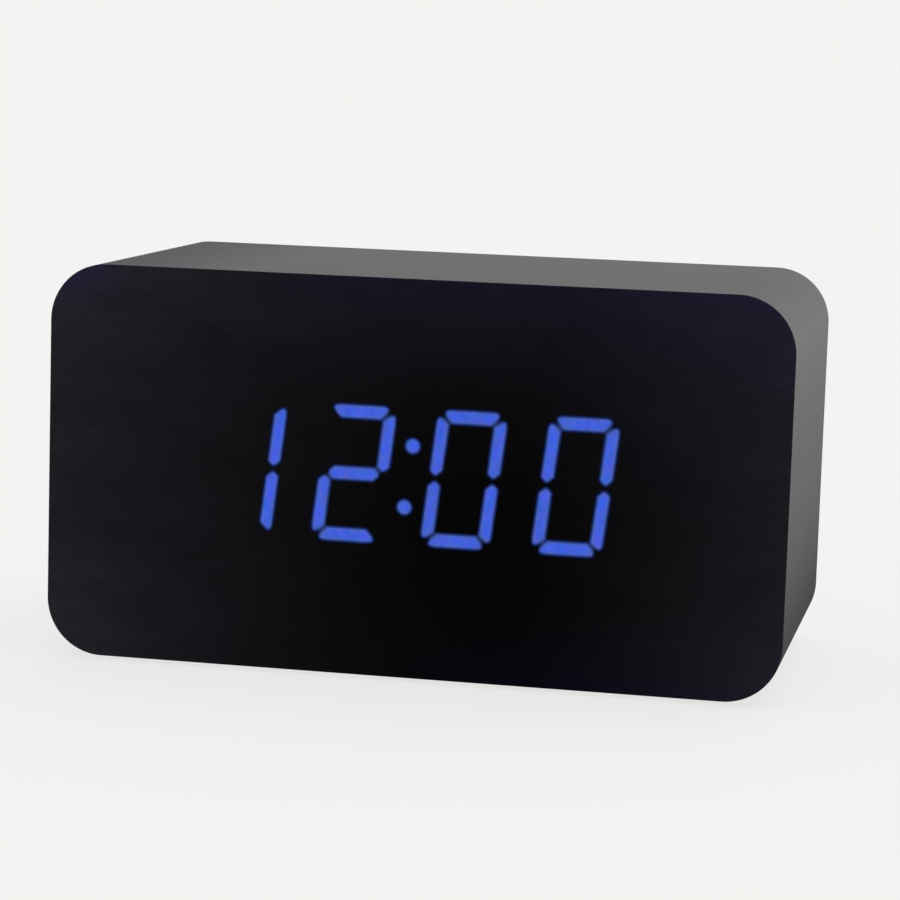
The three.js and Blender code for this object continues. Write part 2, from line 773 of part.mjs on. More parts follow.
function stud(height) {
  return new THREE.CylinderGeometry(studTipRadius, studBaseRadius, height + contactThickness / 2,
    pinSides).translate(0, (height - contactThickness / 2) / 2, 0).rotateZ(-Math.PI / 2);
}

// endSign is +1 at the bay's right wall and -1 at its left; each entry of kinds is a cell's index
// and whether its sprung end is here
function contact(endSign, kinds, hasTab) {
  const wallX = endSign > 0 ? trayRightX : trayLeftX;
  const faceX = wallX - endSign * contactThickness;
  const [x0, x1] = [wallX, faceX].sort((a, b) => a - b);
  const levels = kinds.map(([index]) => cellZ(index));
  const [y0, y1] = [cellMidY - contactSize / 2, cellMidY + contactSize / 2];
  const solids = [block(
    x0, x1, y0, y1, Math.min(...levels) - contactSize / 2, Math.max(...levels) + contactSize / 2,
  )];
  for (const [index, sprung] of kinds) {
    const geometry = sprung
      ? spring(springSpace - contactThickness - fitClearance)
      : stud(studSpace - contactThickness - fitClearance);
    if (endSign > 0) geometry.rotateZ(Math.PI);
    solids.push(solidOf(geometry.translate(faceX, cellMidY, cellZ(index))));
  }
  if (hasTab) {
    const z = cellZ(kinds[0][0]);
    solids.push(block(
      x0, x1, trayFloorY - trayWall - tabReach, y0 + cutOverrun, z - tabWidth / 2, z + tabWidth / 2,
    ));
  }
  return join(solids);
}

// The cells stand end for end in turn; the first one's positive end is on the right
const nubRadius = 1.9;
const nubHeight = 0.8;
const cellEdge = 0.5;

function batteryCell() {
  const radius = cellDiameter / 2;
  const body = cellLength - nubHeight;
  return turned([
    [0, 0],
    [radius - cellEdge, 0],
    [radius, cellEdge],
    [radius, body - cellEdge],
    [radius - cellEdge, body],
    [nubRadius, body],
    [nubRadius, cellLength],
    [0, cellLength],
  ], cellSides);
}

function addCells() {
  for (let i = 0; i < cellCount; i++) {
    const mesh = addPiece(`battery_cell_${i + 1}`, batteryCell(), "cellWrap");
    const forward = i % 2 === 0;
    mesh.rotation.z = forward ? -Math.PI / 2 : Math.PI / 2;
    mesh.position.set(forward ? trayLeftX + springSpace : trayRightX - springSpace, cellMidY, cellZ(i));
  }
}

// The three push buttons, their switches and plungers
function buttonCap() {
  const flangeBack = coverInnerY - fitClearance - buttonFlangeThickness;
  const face = coverOuterY + buttonProud;
  const dome = buttonProud / 2;
  return turned([
    [0, flangeBack],
    [buttonFlangeRadius, flangeBack],
    [buttonFlangeRadius, flangeBack + buttonFlangeThickness],
    [buttonRadius, flangeBack + buttonFlangeThickness],
    [buttonRadius, face - dome],
    [buttonRadius - dome, face],
    [0, face],
  ]);
}

function switchBase() {
  const half = switchSize / 2;
  const top = mainBoardRearY + switchHeight;
  const hole = plungerSink + buttonTravel + fitClearance;
  return cut(block(-half, half, mainBoardRearY, top, -half, half), [
    rod(0, 0, plungerRadius + fitClearance, top - hole, top + cutOverrun, pinSides),
  ]);
}

function plunger() {
  const top = mainBoardRearY + switchHeight;
  return rod(0, 0, plungerRadius, top - plungerSink, top + plungerReach, pinSides);
}

function addButtons() {
  buttonNames.forEach((name, i) => {
    const [x, z] = buttonPlaces[i];
    const place = new THREE.Group();
    place.position.set(x, 0, z);
    clock.add(place);
    addPiece(`${name}_button`, buttonCap(), "blackPlastic", place);
    addPiece(`${name}_plunger`, plunger(), "whitePlastic", place);
    addPiece(`${name}_switch`, switchBase(), "chipPlastic", place);
  });
}

function powerSocket() {
  const half = socketSize / 2;
  const bodyTop = coverInnerY - fitClearance;
  const boreFloor = mainBoardRearY + socketFloor;
  const shell = cut(
    join([
      block(socketX - half, socketX + half, mainBoardRearY, bodyTop, socketZ - half, socketZ + half),
      rod(socketX, socketZ, socketNoseRadius, mainBoardRearY + socketFloor, coverOuterY),
    ]),
    [rod(socketX, socketZ, socketBoreRadius, boreFloor, coverOuterY + cutOverrun)],
  );
  const pin = rod(
    socketX, socketZ, socketPinRadius, boreFloor - socketFloor / 2, coverOuterY - socketPinDrop,
    pinSides,
  );
  return join([shell, pin]);
}

function mainBoard() {
  const outline = rect(mainBoardLeftX, mainBoardRightX, mainBoardBottomZ, mainBoardTopZ);
  for (const [x, z] of boardScrewPlaces) {
    outline.holes.push(disc(x, z, screw.board.radius + fitClearance, pinSides));
  }
  return slab(outline, mainBoardFrontY, mainBoardRearY);
}

function buzzer() {
  const holeDepth = 1.5;
  return cut(rod(buzzerX, buzzerZ, buzzerRadius, mainBoardRearY, mainBoardRearY + buzzerHeight), [
    rod(buzzerX, buzzerZ, buzzerHoleRadius, mainBoardRearY + buzzerHeight - holeDepth,
      mainBoardRearY + buzzerHeight + cutOverrun, pinSides),
  ]);
}

const controller = { size: 10, height: 1.6, leads: 5, shiftX: 9, shiftZ: 2 };
const crystalSize = { length: 10.2, width: 3.6, height: 3.4, shiftX: 9, drop: 9 };
const capacitorSize = { radius: 3.15, height: 7, edge: 0.4, shiftX: 8, drop: 11 };

function crystal() {
  const outline = roundedRect(
    crystalSize.length, crystalSize.width, crystalSize.width / 2, mainBoardMidX + crystalSize.shiftX,
    caseMidZ - crystalSize.drop,
  );
  return slab(outline, mainBoardFrontY - crystalSize.height, mainBoardFrontY);
}

function capacitor() {
  const { radius, height, edge } = capacitorSize;
  return turned([
    [0, -height],
    [radius - edge, -height],
    [radius, -height + edge],
    [radius, 0],
    [0, 0],
  ]).translate(mainBoardMidX - capacitorSize.shiftX, mainBoardFrontY, caseMidZ - capacitorSize.drop);
}

// Headers on the two boards and the flat cable between them
const header = { length: 12, width: 4.6, height: 5.5, wall: 0.8, depth: 3.5 };
const cableWidth = 9;
const cableThickness = 1.2;
const cableSteps = 14;
const cableBowShare = 0.9;
const cableShift = 10;
const displayHeaderDrop = 6;
const mainHeaderRise = 9;
const cableX = mainBoardMidX - cableShift;
const displayHeaderZ = displayMidZ - displayHeaderDrop;
const mainHeaderZ = caseMidZ + mainHeaderRise;

function headerSolid(boardY, faceSign, midZ) {
  const faceY = boardY + faceSign * header.height;
  const floorY = faceY - faceSign * header.depth;
  const [low, high] = [boardY, faceY].sort((a, b) => a - b);
  const [cutLow, cutHigh] = [floorY, faceY + faceSign * cutOverrun].sort((a, b) => a - b);
  const [halfX, halfZ] = [header.length / 2, header.width / 2];
  return cut(block(cableX - halfX, cableX + halfX, low, high, midZ - halfZ, midZ + halfZ), [
    block(
      cableX - halfX + header.wall, cableX + halfX - header.wall, cutLow, cutHigh,
      midZ - halfZ + header.wall, midZ + halfZ - header.wall,
    ),
  ]);
}

function ribbonCable() {
  const startY = displayBoardBackY + header.height - header.depth + fitClearance;
  const endY = mainBoardFrontY - header.height + header.depth - fitClearance;
  const bow = (endY - startY) * cableBowShare;
  const path = new THREE.CubicBezierCurve3(
    new THREE.Vector3(cableX, startY, displayHeaderZ),
    new THREE.Vector3(cableX, startY + bow, displayHeaderZ),
    new THREE.Vector3(cableX, endY - bow, mainHeaderZ),
    new THREE.Vector3(cableX, endY, mainHeaderZ),
  );
  const [x, z] = [cableWidth / 2, cableThickness / 2];
  const section = softPolygon([[-x, -z], [x, -z], [x, z], [-x, z]], z, wellTipSides);
  return new THREE.ExtrudeGeometry(section, {
    steps: cableSteps,
    bevelEnabled: false,
    extrudePath: path,
  });
}

// A battery lead, from the end of a contact's tab to the main board's front face
const leadRadius = 0.7;
const leadSides = 8;
const leadSteps = 12;
const leadBow = 7;
const leadInset = 8;

function batteryLead(z) {
  const startX = trayRightX - contactThickness / 2;
  const startY = trayFloorY - trayWall - tabReach - fitClearance;
  const endX = mainBoardLeftX + leadInset;
  const endY = mainBoardFrontY - fitClearance;
  const path = new THREE.CubicBezierCurve3(
    new THREE.Vector3(startX, startY, z),
    new THREE.Vector3(startX, startY - leadBow, z),
    new THREE.Vector3(endX, endY - leadBow - (endY - startY), z),
    new THREE.Vector3(endX, endY, z),
  );
  return new THREE.ExtrudeGeometry(disc(0, 0, leadRadius, leadSides), {
    steps: leadSteps,
    bevelEnabled: false,
    extrudePath: path,
  });
}

// Four thin feet under the block
const footRadius = 4;
const footEdge = 0.2;
const footInsetX = 16;
const footInsetY = 13;

function addFeet() {
  const shape = [
    [0, 0],
    [footRadius - footEdge, 0],
    [footRadius, footEdge],
    [footRadius, footHeight],
    [0, footHeight],
  ];
  const places = onCorners(caseWidth / 2 - footInsetX, caseDepth / 2 - footInsetY, 0, 0);
  places.forEach(([x, y], i) => {
    const mesh = addPiece(`foot_${i + 1}`, turned(shape), "rubber");
    mesh.rotation.x = Math.PI / 2;
    mesh.position.set(x, y, 0);
  });
}

addPiece("case_shell", caseShell(), "fibreboard");
addPiece("front_board", frontBoard(), "rawBoard");
addPiece("front_film", frontFilm(), "satinFilm");
for (const index of digitNumbers) {
  addPiece(`digit_diffuser_${index + 1}`, digitDiffuser(index), "blueDiffuser");
}
addPiece("colon_diffuser", colonDiffuser(), "blueDiffuser");
addPiece("reflector_housing", reflectorHousing(), "whitePlastic");
addPiece("display_board", displayBoard(), "circuitBoard");
addPiece("display_driver", displayDriver(), "chipPlastic");
addPiece("display_connector", headerSolid(displayBoardBackY, 1, displayHeaderZ), "whitePlastic");
addScrews("display_screw", "display", displayScrewPlaces, displayBoardBackY);
addPiece("ribbon_cable", ribbonCable(), "cableGrey");
addPiece("main_connector", headerSolid(mainBoardFrontY, -1, mainHeaderZ), "whitePlastic");
addPiece("main_board", mainBoard(), "circuitBoard");
addPiece("microcontroller", packagedChip(
  mainBoardMidX + controller.shiftX, caseMidZ + controller.shiftZ, controller.size, controller.size,
  controller.height, controller.leads, mainBoardFrontY, -1, true,
), "chipPlastic");
addPiece("crystal", crystal(), "nickel");
addPiece("capacitor", capacitor(), "chipPlastic");
addPiece("buzzer", buzzer(), "chipPlastic");
addButtons();
addPiece("power_socket", powerSocket(), "chipPlastic");
addScrews("board_screw", "board", boardScrewPlaces, mainBoardFrontY, true);
addPiece("rear_cover", rearCover(), "blackPlastic");
addScrews("cover_screw", "cover", coverScrewPlaces, coverOuterY - screw.cover.headHeight);
addPiece("battery_door", batteryDoor(), "blackPlastic");
addPiece("battery_door_latch", doorLatch(), "blackPlastic");
addCells();
addPiece("contact_link_1", contact(-1, [[0, true], [1, false]], false), "nickel");
addPiece("contact_link_2", contact(1, [[1, true], [2, false]], false), "nickel");
addPiece("contact_link_3", contact(-1, [[2, true], [3, false]], false), "nickel");
addPiece("contact_positive", contact(1, [[0, false]], true), "nickel");
addPiece("contact_negative", contact(1, [[3, true]], true), "nickel");
addPiece("positive_lead", batteryLead(terminalPlaces[0]), "redLead");
addPiece("negative_lead", batteryLead(terminalPlaces[1]), "blackLead");
addFeet();

export default clock;
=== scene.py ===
# A black block clock with a slanted blue display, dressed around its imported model.
# The dictionaries hold millimetres, and mm turns them into the scene's metres.
import json
import math
import bpy
from mathutils import Matrix, Vector


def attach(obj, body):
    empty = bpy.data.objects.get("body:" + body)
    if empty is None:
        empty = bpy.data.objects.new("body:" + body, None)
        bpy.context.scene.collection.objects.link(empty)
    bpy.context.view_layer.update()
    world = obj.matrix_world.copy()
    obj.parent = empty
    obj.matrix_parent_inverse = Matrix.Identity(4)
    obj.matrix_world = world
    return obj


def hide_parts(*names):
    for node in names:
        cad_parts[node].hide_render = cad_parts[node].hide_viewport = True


mm = 0.001
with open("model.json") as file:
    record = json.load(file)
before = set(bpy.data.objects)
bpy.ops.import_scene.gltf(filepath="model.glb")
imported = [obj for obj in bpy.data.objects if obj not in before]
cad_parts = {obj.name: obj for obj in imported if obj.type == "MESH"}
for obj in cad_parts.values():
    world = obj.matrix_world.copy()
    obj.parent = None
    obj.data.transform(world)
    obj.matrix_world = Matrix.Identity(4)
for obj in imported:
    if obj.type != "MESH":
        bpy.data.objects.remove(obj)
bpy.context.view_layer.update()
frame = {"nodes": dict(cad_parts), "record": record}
print("frame: %d nodes" % len(frame["nodes"]))


# Working by hand: pick things up, select parts of them, shape them

def deselectAll():
    bpy.ops.object.select_all(action="DESELECT")


def takeUp(*pieces):  # these alone are selected, and the first is active
    deselectAll()
    for piece in pieces:
        piece.select_set(True)
    bpy.context.view_layer.objects.active = pieces[0]


def settle(piece):  # its place, turn and scale go into its mesh
    takeUp(piece)
    bpy.ops.object.transform_apply(location=True, rotation=True, scale=True)


def addBox(name, low, high):
    deselectAll()
    middle = [(a + b) / 2 * mm for a, b in zip(low, high)]
    bpy.ops.mesh.primitive_cube_add(size=1, location=middle)
    box = bpy.context.object
    box.name = name
    box.scale = [(b - a) * mm for a, b in zip(low, high)]
    settle(box)
    return box


turnsOntoAxis = {"x": (0, math.pi / 2, 0), "y": (-math.pi / 2, 0, 0), "z": (0, 0, 0)}


def addRod(name, axis, middle, radius, length, sides=48):
    deselectAll()
    bpy.ops.mesh.primitive_cylinder_add(
        vertices=sides, radius=radius * mm, depth=length * mm,
        location=[value * mm for value in middle], rotation=turnsOntoAxis[axis])
    rod = bpy.context.object
    rod.name = name
    settle(rod)
    return rod


def addRodY(name, x, z, radius, y0, y1, sides=48):
    return addRod(name, "y", (x, (y0 + y1) / 2, z), radius, y1 - y0, sides)


def pickFaces(piece, wanted):  # wanted gets a face's middle in mm and its normal
    takeUp(piece)
    bpy.context.tool_settings.mesh_select_mode = (False, False, True)
    for part in (piece.data.vertices, piece.data.edges):
        part.foreach_set("select", [False] * len(part))
    for face in piece.data.polygons:
        face.select = wanted(face.center / mm, face.normal)
    bpy.ops.object.mode_set(mode="EDIT")


def pickEdges(piece, wanted):  # wanted gets an edge's middle in mm, its direction, its turn in degrees
    takeUp(piece)
    bpy.context.tool_settings.mesh_select_mode = (False, True, False)
    mesh = piece.data
    for part in (mesh.vertices, mesh.polygons):
        part.foreach_set("select", [False] * len(part))
    sides = {}
    for face in mesh.polygons:
        for key in face.edge_keys:
            sides.setdefault(key, []).append(face.normal)
    for edge in mesh.edges:
        start, end = (mesh.vertices[i].co for i in edge.vertices)
        normals = sides[edge.key]
        turn = math.degrees(normals[0].angle(normals[1])) if len(normals) == 2 else 180
        edge.select = wanted((start + end) / 2 / mm, (end - start).normalized(), turn)
    bpy.ops.object.mode_set(mode="EDIT")


def stopEditing():
    bpy.ops.object.mode_set(mode="OBJECT")


near = 0.01  # mm: closer than this, two places are taken as one


def runsInDepth(middle, along, turn):  # an edge that runs from front to back
    return abs(along.y) > 0.9


def edgesAt(y, sharpness=0):  # edges in one upright plane, that turn by at least so many degrees
    return lambda middle, along, turn: abs(middle.y - y) < near and turn >= sharpness


def facesAbout(x, z, facing=1):  # faces that look backward or forward, with their middle there
    return lambda middle, normal: normal.y * facing > 0.9 and math.hypot(middle.x - x, middle.z - z) < 0.5


def roundEdges(piece, wanted, reach, segments):
    pickEdges(piece, wanted)
    bpy.ops.mesh.bevel(offset=reach * mm, offset_type="OFFSET", segments=segments, affect="EDGES")
    stopEditing()


def insetFaces(piece, wanted, margin):
    pickFaces(piece, wanted)
    bpy.ops.mesh.inset(thickness=margin * mm, use_even_offset=True)
    stopEditing()


def pushFaces(piece, wanted, move):  # extrudes the faces by a step in mm
    pickFaces(piece, wanted)
    bpy.ops.mesh.extrude_region_move(TRANSFORM_OT_translate={"value": [value * mm for value in move]})
    stopEditing()


def trim(piece, normal, reach):  # cuts off what lies beyond a plane, and closes the cut
    takeUp(piece)
    bpy.ops.object.mode_set(mode="EDIT")
    bpy.ops.mesh.select_all(action="SELECT")
    bpy.ops.mesh.bisect(plane_co=Vector(normal) * reach * mm, plane_no=normal, use_fill=True,
                        clear_outer=True)
    stopEditing()


def joined(name, pieces):
    takeUp(*pieces)
    if len(pieces) > 1:
        bpy.ops.object.join()
    pieces[0].name = name
    return pieces[0]


def combine(piece, operation, tools):
    tool = joined("tool", tools)
    takeUp(piece)
    modifier = piece.modifiers.new(operation.title(), "BOOLEAN")
    modifier.operation = operation
    modifier.solver = "EXACT"
    modifier.object = tool
    bpy.ops.object.modifier_apply(modifier=modifier.name)
    bpy.data.objects.remove(tool)


def softenEdges(piece, width, segments=2, angle=35):
    takeUp(piece)
    modifier = piece.modifiers.new("Soft edges", "BEVEL")
    modifier.width = width * mm
    modifier.segments = segments
    modifier.limit_method = "ANGLE"
    modifier.angle_limit = math.radians(angle)
    modifier.use_clamp_overlap = True
    bpy.ops.object.modifier_apply(modifier=modifier.name)


def copied(piece, name, move):
    takeUp(piece)
    bpy.ops.object.duplicate(linked=False)
    copy = bpy.context.object
    copy.name = name
    copy.location = [value * mm for value in move]
    settle(copy)
    return copy


def finishPiece(piece, body, slot, node, angle=30):
    takeUp(piece)
    bpy.ops.object.shade_smooth_by_angle(angle=math.radians(angle))
    modifier = piece.modifiers.new("Level faces", "WEIGHTED_NORMAL")  # flat faces shade flat to their edge
    modifier.keep_sharp = True
    bpy.ops.object.modifier_apply(modifier=modifier.name)
    if not piece.data.materials:
        piece.data.materials.append(finishes[slot])
    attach(piece, body)
    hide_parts(node)


# Materials: a wire is a socket that takes part in sums, and a finish is a material with its nodes

class Wire:
    def __init__(self, finish, socket):
        self.finish, self.socket = finish, socket

    def sum(self, operation, first, second):
        return self.finish.node("ShaderNodeMath", {"operation": operation}, {0: first, 1: second})

    def __add__(self, other):
        return self.sum("ADD", self, other)

    def __sub__(self, other):
        return self.sum("SUBTRACT", self, other)

    def __rsub__(self, other):
        return self.sum("SUBTRACT", other, self)

    def __mul__(self, other):
        return self.sum("MULTIPLY", self, other)

    def __truediv__(self, other):
        return self.sum("DIVIDE", self, other)

    def __pow__(self, other):
        return self.sum("POWER", self, other)

    def positive(self):
        return self.sum("MAXIMUM", self, 0.0)

    __radd__, __rmul__ = __add__, __mul__


class Finish:
    def __init__(self, name, **sockets):
        self.material = bpy.data.materials.new(name)
        self.material.use_nodes = True
        self.tree = self.material.node_tree
        self.shader = self.tree.nodes["Principled BSDF"]
        for socket, value in sockets.items():
            self.put(self.shader, socket.replace("_", " "), value)

    def put(self, node, socket, value):
        if isinstance(value, Wire):
            self.tree.links.new(value.socket, node.inputs[socket])
        else:
            node.inputs[socket].default_value = value

    def node(self, kind, settings=None, inputs=None, output=0):
        made = self.tree.nodes.new(kind)
        for setting, value in (settings or {}).items():
            if setting == "stops":
                for i, (place, colour) in enumerate(value):
                    stop = made.color_ramp.elements[i] if i < 2 else made.color_ramp.elements.new(place)
                    stop.position, stop.color = place, colour
            else:
                setattr(made, setting, value)
        for socket, value in (inputs or {}).items():
            self.put(made, socket, value)
        return Wire(self, made.outputs[output])

    def place(self):  # where a point of the surface is, in metres
        return self.node("ShaderNodeTexCoord", output="Object")

    def axes(self):
        place = self.place()
        return [self.node("ShaderNodeSeparateXYZ", None, {0: place}, output=i) for i in range(3)]

    def stretched(self, scale, turn=(0, 0, 0)):
        return self.node("ShaderNodeMapping", None, {"Vector": self.place(), "Scale": scale,
                                                     "Rotation": turn})

    def noise(self, scale, detail=3, vector=None):
        return self.node("ShaderNodeTexNoise", None, {
            "Vector": vector or self.place(), "Scale": scale, "Detail": detail})

    def between(self, wire, low, high, start=0.0, end=1.0):  # maps low..high onto start..end
        return self.node("ShaderNodeMapRange", {"interpolation_type": "SMOOTHSTEP"}, {
            "Value": wire, "From Min": low, "From Max": high, "To Min": start, "To Max": end})

    def mix(self, share, first, second):
        return self.node("ShaderNodeMix", {"data_type": "RGBA"}, {0: share, 6: first, 7: second}, output=2)

    def bump(self, height, strength, distance):
        return self.node("ShaderNodeBump", None, {
            "Height": height, "Strength": strength, "Distance": distance})

    def give(self, **sockets):
        for socket, value in sockets.items():
            self.put(self.shader, socket.replace("_", " "), value)
        return self.material


class Surroundings(Finish):
    def __init__(self, name):
        self.material = bpy.data.worlds.new(name)
        self.material.use_nodes = True
        self.tree = self.material.node_tree


def grey(level, tint=(1, 1, 1)):
    return (level * tint[0], level * tint[1], level * tint[2], 1)


wrap = {  # the satin film round the block: its sheen gives heights in mm and the roughness there
    "dark": (0.0086, 0.0083, 0.0118, 1), "light": (0.0122, 0.0118, 0.0166, 1), "specular": 0.36,
    "sheen": [(9, 0.85), (12, 0.76), (17, 0.65), (22, 0.592), (27, 0.549), (34, 0.515), (43, 0.494),
              (52, 0.466), (58, 0.44), (63, 0.41), (66.5, 0.435), (69.8, 0.543)], "sheenTop": 70,
    "dullEnd": (-28, -62), "dullness": 0.15, "cloudScale": 38, "roughnessSpread": 0.03,
    "grainScale": 1500, "grainStretch": (0.16, 1, 1), "grainDepth": 0.00002, "grainStrength": 0.35,
}


def makeWrap():
    finish = Finish("satinWrap", Specular_IOR_Level=wrap["specular"])
    x, _, z = finish.axes()
    top = wrap["sheenTop"]
    stops = [(height / top, grey(roughness)) for height, roughness in wrap["sheen"]]
    sheen = finish.node("ShaderNodeValToRGB", {"stops": stops}, {"Fac": z / (top * mm)})
    start, full = wrap["dullEnd"]
    dull = finish.between(x, full * mm, start * mm, wrap["dullness"], 0.0)
    grain = finish.noise(wrap["grainScale"], 4, finish.stretched(wrap["grainStretch"]))
    cloud = finish.noise(wrap["cloudScale"], 2)
    return finish.give(
        Base_Color=finish.mix(cloud, wrap["dark"], wrap["light"]),
        Roughness=sheen + dull + (cloud - 0.5) * wrap["roughnessSpread"],
        Normal=finish.bump(grain, wrap["grainStrength"], wrap["grainDepth"]))


film = {  # the front: black round the display, and lighter and bluer towards its edges and corners as a painted sheen
    "middleX": 15.1, "reachX": 60, "left": (0.0090, 1.56), "right": (0.0142, 1.42),
    "topStart": 20, "lowStart": 32.7, "reachZ": 25, "top": (0.0019, 2.15), "low": (0.0012, 2.0),
    "blend": 1.53, "lowCornerSheen": 32000, "cornerMost": 0.0107, "tint": (1, 0.99, 1.32),
    "blueTop": (36, 0.0019, 4.0), "blueTopFrom": (-38, -8, 0.35, 1.15),
    "blueLow": (16, 0.0062, 1.6), "blueLowFrom": (-16, 42),
    "paintedBlueCorners": [(1, 20, 40, 30, 30, 0.0035), (-1, 50, 14, 62, 8, 0.028)],
    "cloudStretch": (60, 150, 150), "cloudDepth": 0.65, "streakDepth": 0.45, "streakStrength": 0.3,
    "roughness": 0.5, "roughnessSpread": 0.05, "specular": 0.02,
}


def makeFilm():
    finish = Finish("frontFilmPaintedSheen", Specular_IOR_Level=film["specular"])
    x, _, z = finish.axes()
    xInMm, zInMm = x / mm, z / mm

    def rise(distance, share, power):  # nothing up to a line, and then more with the distance past it
        return distance.positive() ** power * share

    # painted sheen: the film's colour grows lighter towards its left and right ends, its top and its bottom
    across = (xInMm - film["middleX"]) / film["reachX"]
    sideSheen = rise(0 - across, *film["left"]) + rise(across, *film["right"])
    topSheen = rise((zInMm - film["topStart"]) / film["reachZ"], *film["top"])
    lowSheen = rise((film["lowStart"] - zInMm) / film["reachZ"], *film["low"])
    blend = film["blend"]
    level = (sideSheen ** blend + topSheen ** blend + lowSheen ** blend) ** (1 / blend)
    # the painted sheen is stronger still in the two lower corners
    ends = sideSheen.sum("MINIMUM", sideSheen, film["cornerMost"])
    level = level + ends * ends * lowSheen * film["lowCornerSheen"]
    cloud = finish.noise(1, 3, finish.stretched(film["cloudStretch"]))
    grain = finish.noise(wrap["grainScale"], 4, finish.stretched(wrap["grainStretch"]))
    level = level * (1 + (cloud - 0.5) * film["cloudDepth"]) * (1 + (grain - 0.5) * film["streakDepth"])

    # a painted bluish sheen above the display, along the bottom and in the two upper corners
    start, share, power = film["blueTop"]
    blue = rise((zInMm - start) / film["reachZ"], share, power) * \
        finish.between(xInMm, *film["blueTopFrom"])
    start, share, power = film["blueLow"]
    blue = blue + rise((start - zInMm) / start, share, power) * finish.between(xInMm, *film["blueLowFrom"])
    for side, startX, reachX, startZ, reachZ, share in film["paintedBlueCorners"]:
        outward = (x * (side / mm) - startX).positive() / reachX
        blue = blue + outward * (zInMm - startZ).positive() / reachZ * share
    # the painted sheen and its bluish tint make up the base colour
    colour = finish.node("ShaderNodeVectorMath", {"operation": "SCALE"}, {0: film["tint"], "Scale": level})
    paintedBlueColour = finish.node("ShaderNodeVectorMath", {"operation": "SCALE"}, {0: (0, 0, 1), "Scale": blue})
    return finish.give(
        Base_Color=finish.node("ShaderNodeVectorMath", {"operation": "ADD"}, {0: colour, 1: paintedBlueColour}),
        Roughness=film["roughness"] + (cloud - 0.5) * film["roughnessSpread"],
        Normal=finish.bump(grain, film["streakStrength"], wrap["grainDepth"]))


glow = {  # the light from a pad's outline at 0, over a ring just inside the bar's edge at 0.5, to 1
    "stops": [(0, (0.0001, 0.0021, 0.0257, 1)), (0.09, (0.0001, 0.0048, 0.0425, 1)),
              (0.27, (0.0053, 0.0149, 0.0881, 1)), (0.41, (0.0133, 0.0304, 0.1532, 1)),
              (0.53, (0.0280, 0.0568, 0.2596, 1)), (0.627, (0.0518, 0.0949, 0.3993, 1)),
              (0.794, (0.0639, 0.1194, 0.5430, 1)), (0.94, (0.0585, 0.1168, 0.6557, 1)),
              (1, (0.0551, 0.1143, 0.7057, 1))],
    "unlit": (0.002, 0.002, 0.0025, 1), "mottle": (820, 820, 560), "mottleDepth": (1.3, 0.6, 0.65),
    "roughness": 0.5, "roughnessScale": 160, "roughnessSpread": 0.05,
}


def makeGlow():
    finish = Finish("blueGlow", Base_Color=glow["unlit"], Specular_IOR_Level=film["specular"],
                    Emission_Strength=1.0)
    fromOutline = finish.node("ShaderNodeAttribute", {"attribute_name": "core"}, output="Fac")
    light = finish.node("ShaderNodeValToRGB", {"stops": glow["stops"]}, {"Fac": fromOutline})
    mottle = finish.node("ShaderNodeTexNoise", None, {
        "Vector": finish.stretched(glow["mottle"]), "Scale": 1, "Detail": 2}, output=1)
    depth = glow["mottleDepth"]
    uneven = finish.node("ShaderNodeVectorMath", {"operation": "MULTIPLY_ADD"}, {
        0: mottle, 1: depth, 2: [1 - share / 2 for share in depth]})
    return finish.give(
        Roughness=glow["roughness"] + (finish.noise(glow["roughnessScale"], 2) - 0.5)
        * glow["roughnessSpread"],
        Emission_Color=finish.node("ShaderNodeVectorMath", {"operation": "MULTIPLY"}, {
            0: light, 1: uneven}))


moulding = {"specular": 0.4, "cloudScale": 60, "shades": (0.78, 1.22), "roughnessSpread": 0.2,
            "strength": 0.6}


def makeMoulded(name, level, roughness, grainScale=900, depth=0.00004, tint=(1, 1, 1)):
    finish = Finish(name, Specular_IOR_Level=moulding["specular"])
    grain = finish.noise(grainScale, 4)
    cloud = finish.noise(moulding["cloudScale"], 2)
    dark, light = (grey(level * shade, tint) for shade in moulding["shades"])
    return finish.give(
        Base_Color=finish.mix((cloud + grain) * 0.5, dark, light),
        Roughness=roughness + (grain - 0.5) * moulding["roughnessSpread"],
        Normal=finish.bump(grain, moulding["strength"], depth))


metal = {"streakScale": 700, "shade": 0.88, "roughnessSpread": 0.14, "strength": 0.2, "depth": 0.00001}


def makeMetal(name, colour, roughness, scratches):
    finish = Finish(name, Metallic=1.0)
    streaks = finish.noise(metal["streakScale"], 3, finish.stretched(scratches))
    return finish.give(
        Base_Color=finish.mix(streaks, [value * metal["shade"] for value in colour[:3]] + [1], colour),
        Roughness=roughness + (streaks - 0.5) * metal["roughnessSpread"],
        Normal=finish.bump(streaks, metal["strength"], metal["depth"]))


fibreboard = {"dark": (0.13, 0.075, 0.036, 1), "light": (0.27, 0.17, 0.09, 1), "specular": 0.2,
              "fibreScale": 420, "fibreStretch": (1, 0.4, 1), "roughness": 0.85, "roughnessSpread": 0.1,
              "strength": 0.5, "depth": 0.00008}


def makeRawBoard():
    finish = Finish("fibreboard", Specular_IOR_Level=fibreboard["specular"])
    fibres = finish.noise(fibreboard["fibreScale"], 5, finish.stretched(fibreboard["fibreStretch"]))
    return finish.give(
        Base_Color=finish.mix(fibres, fibreboard["dark"], fibreboard["light"]),
        Roughness=fibreboard["roughness"] + (fibres - 0.5) * fibreboard["roughnessSpread"],
        Normal=finish.bump(fibres, fibreboard["strength"], fibreboard["depth"]))


solderMask = {"field": (0.008, 0.075, 0.03, 1), "lane": (0.02, 0.15, 0.06, 1), "specular": 0.5,
              "laneScale": 160.0, "laneWidth": 0.06, "laneOffset": 0.37, "roughness": 0.4,
              "laneRoughness": 0.08, "strength": 0.3, "depth": 0.00003}


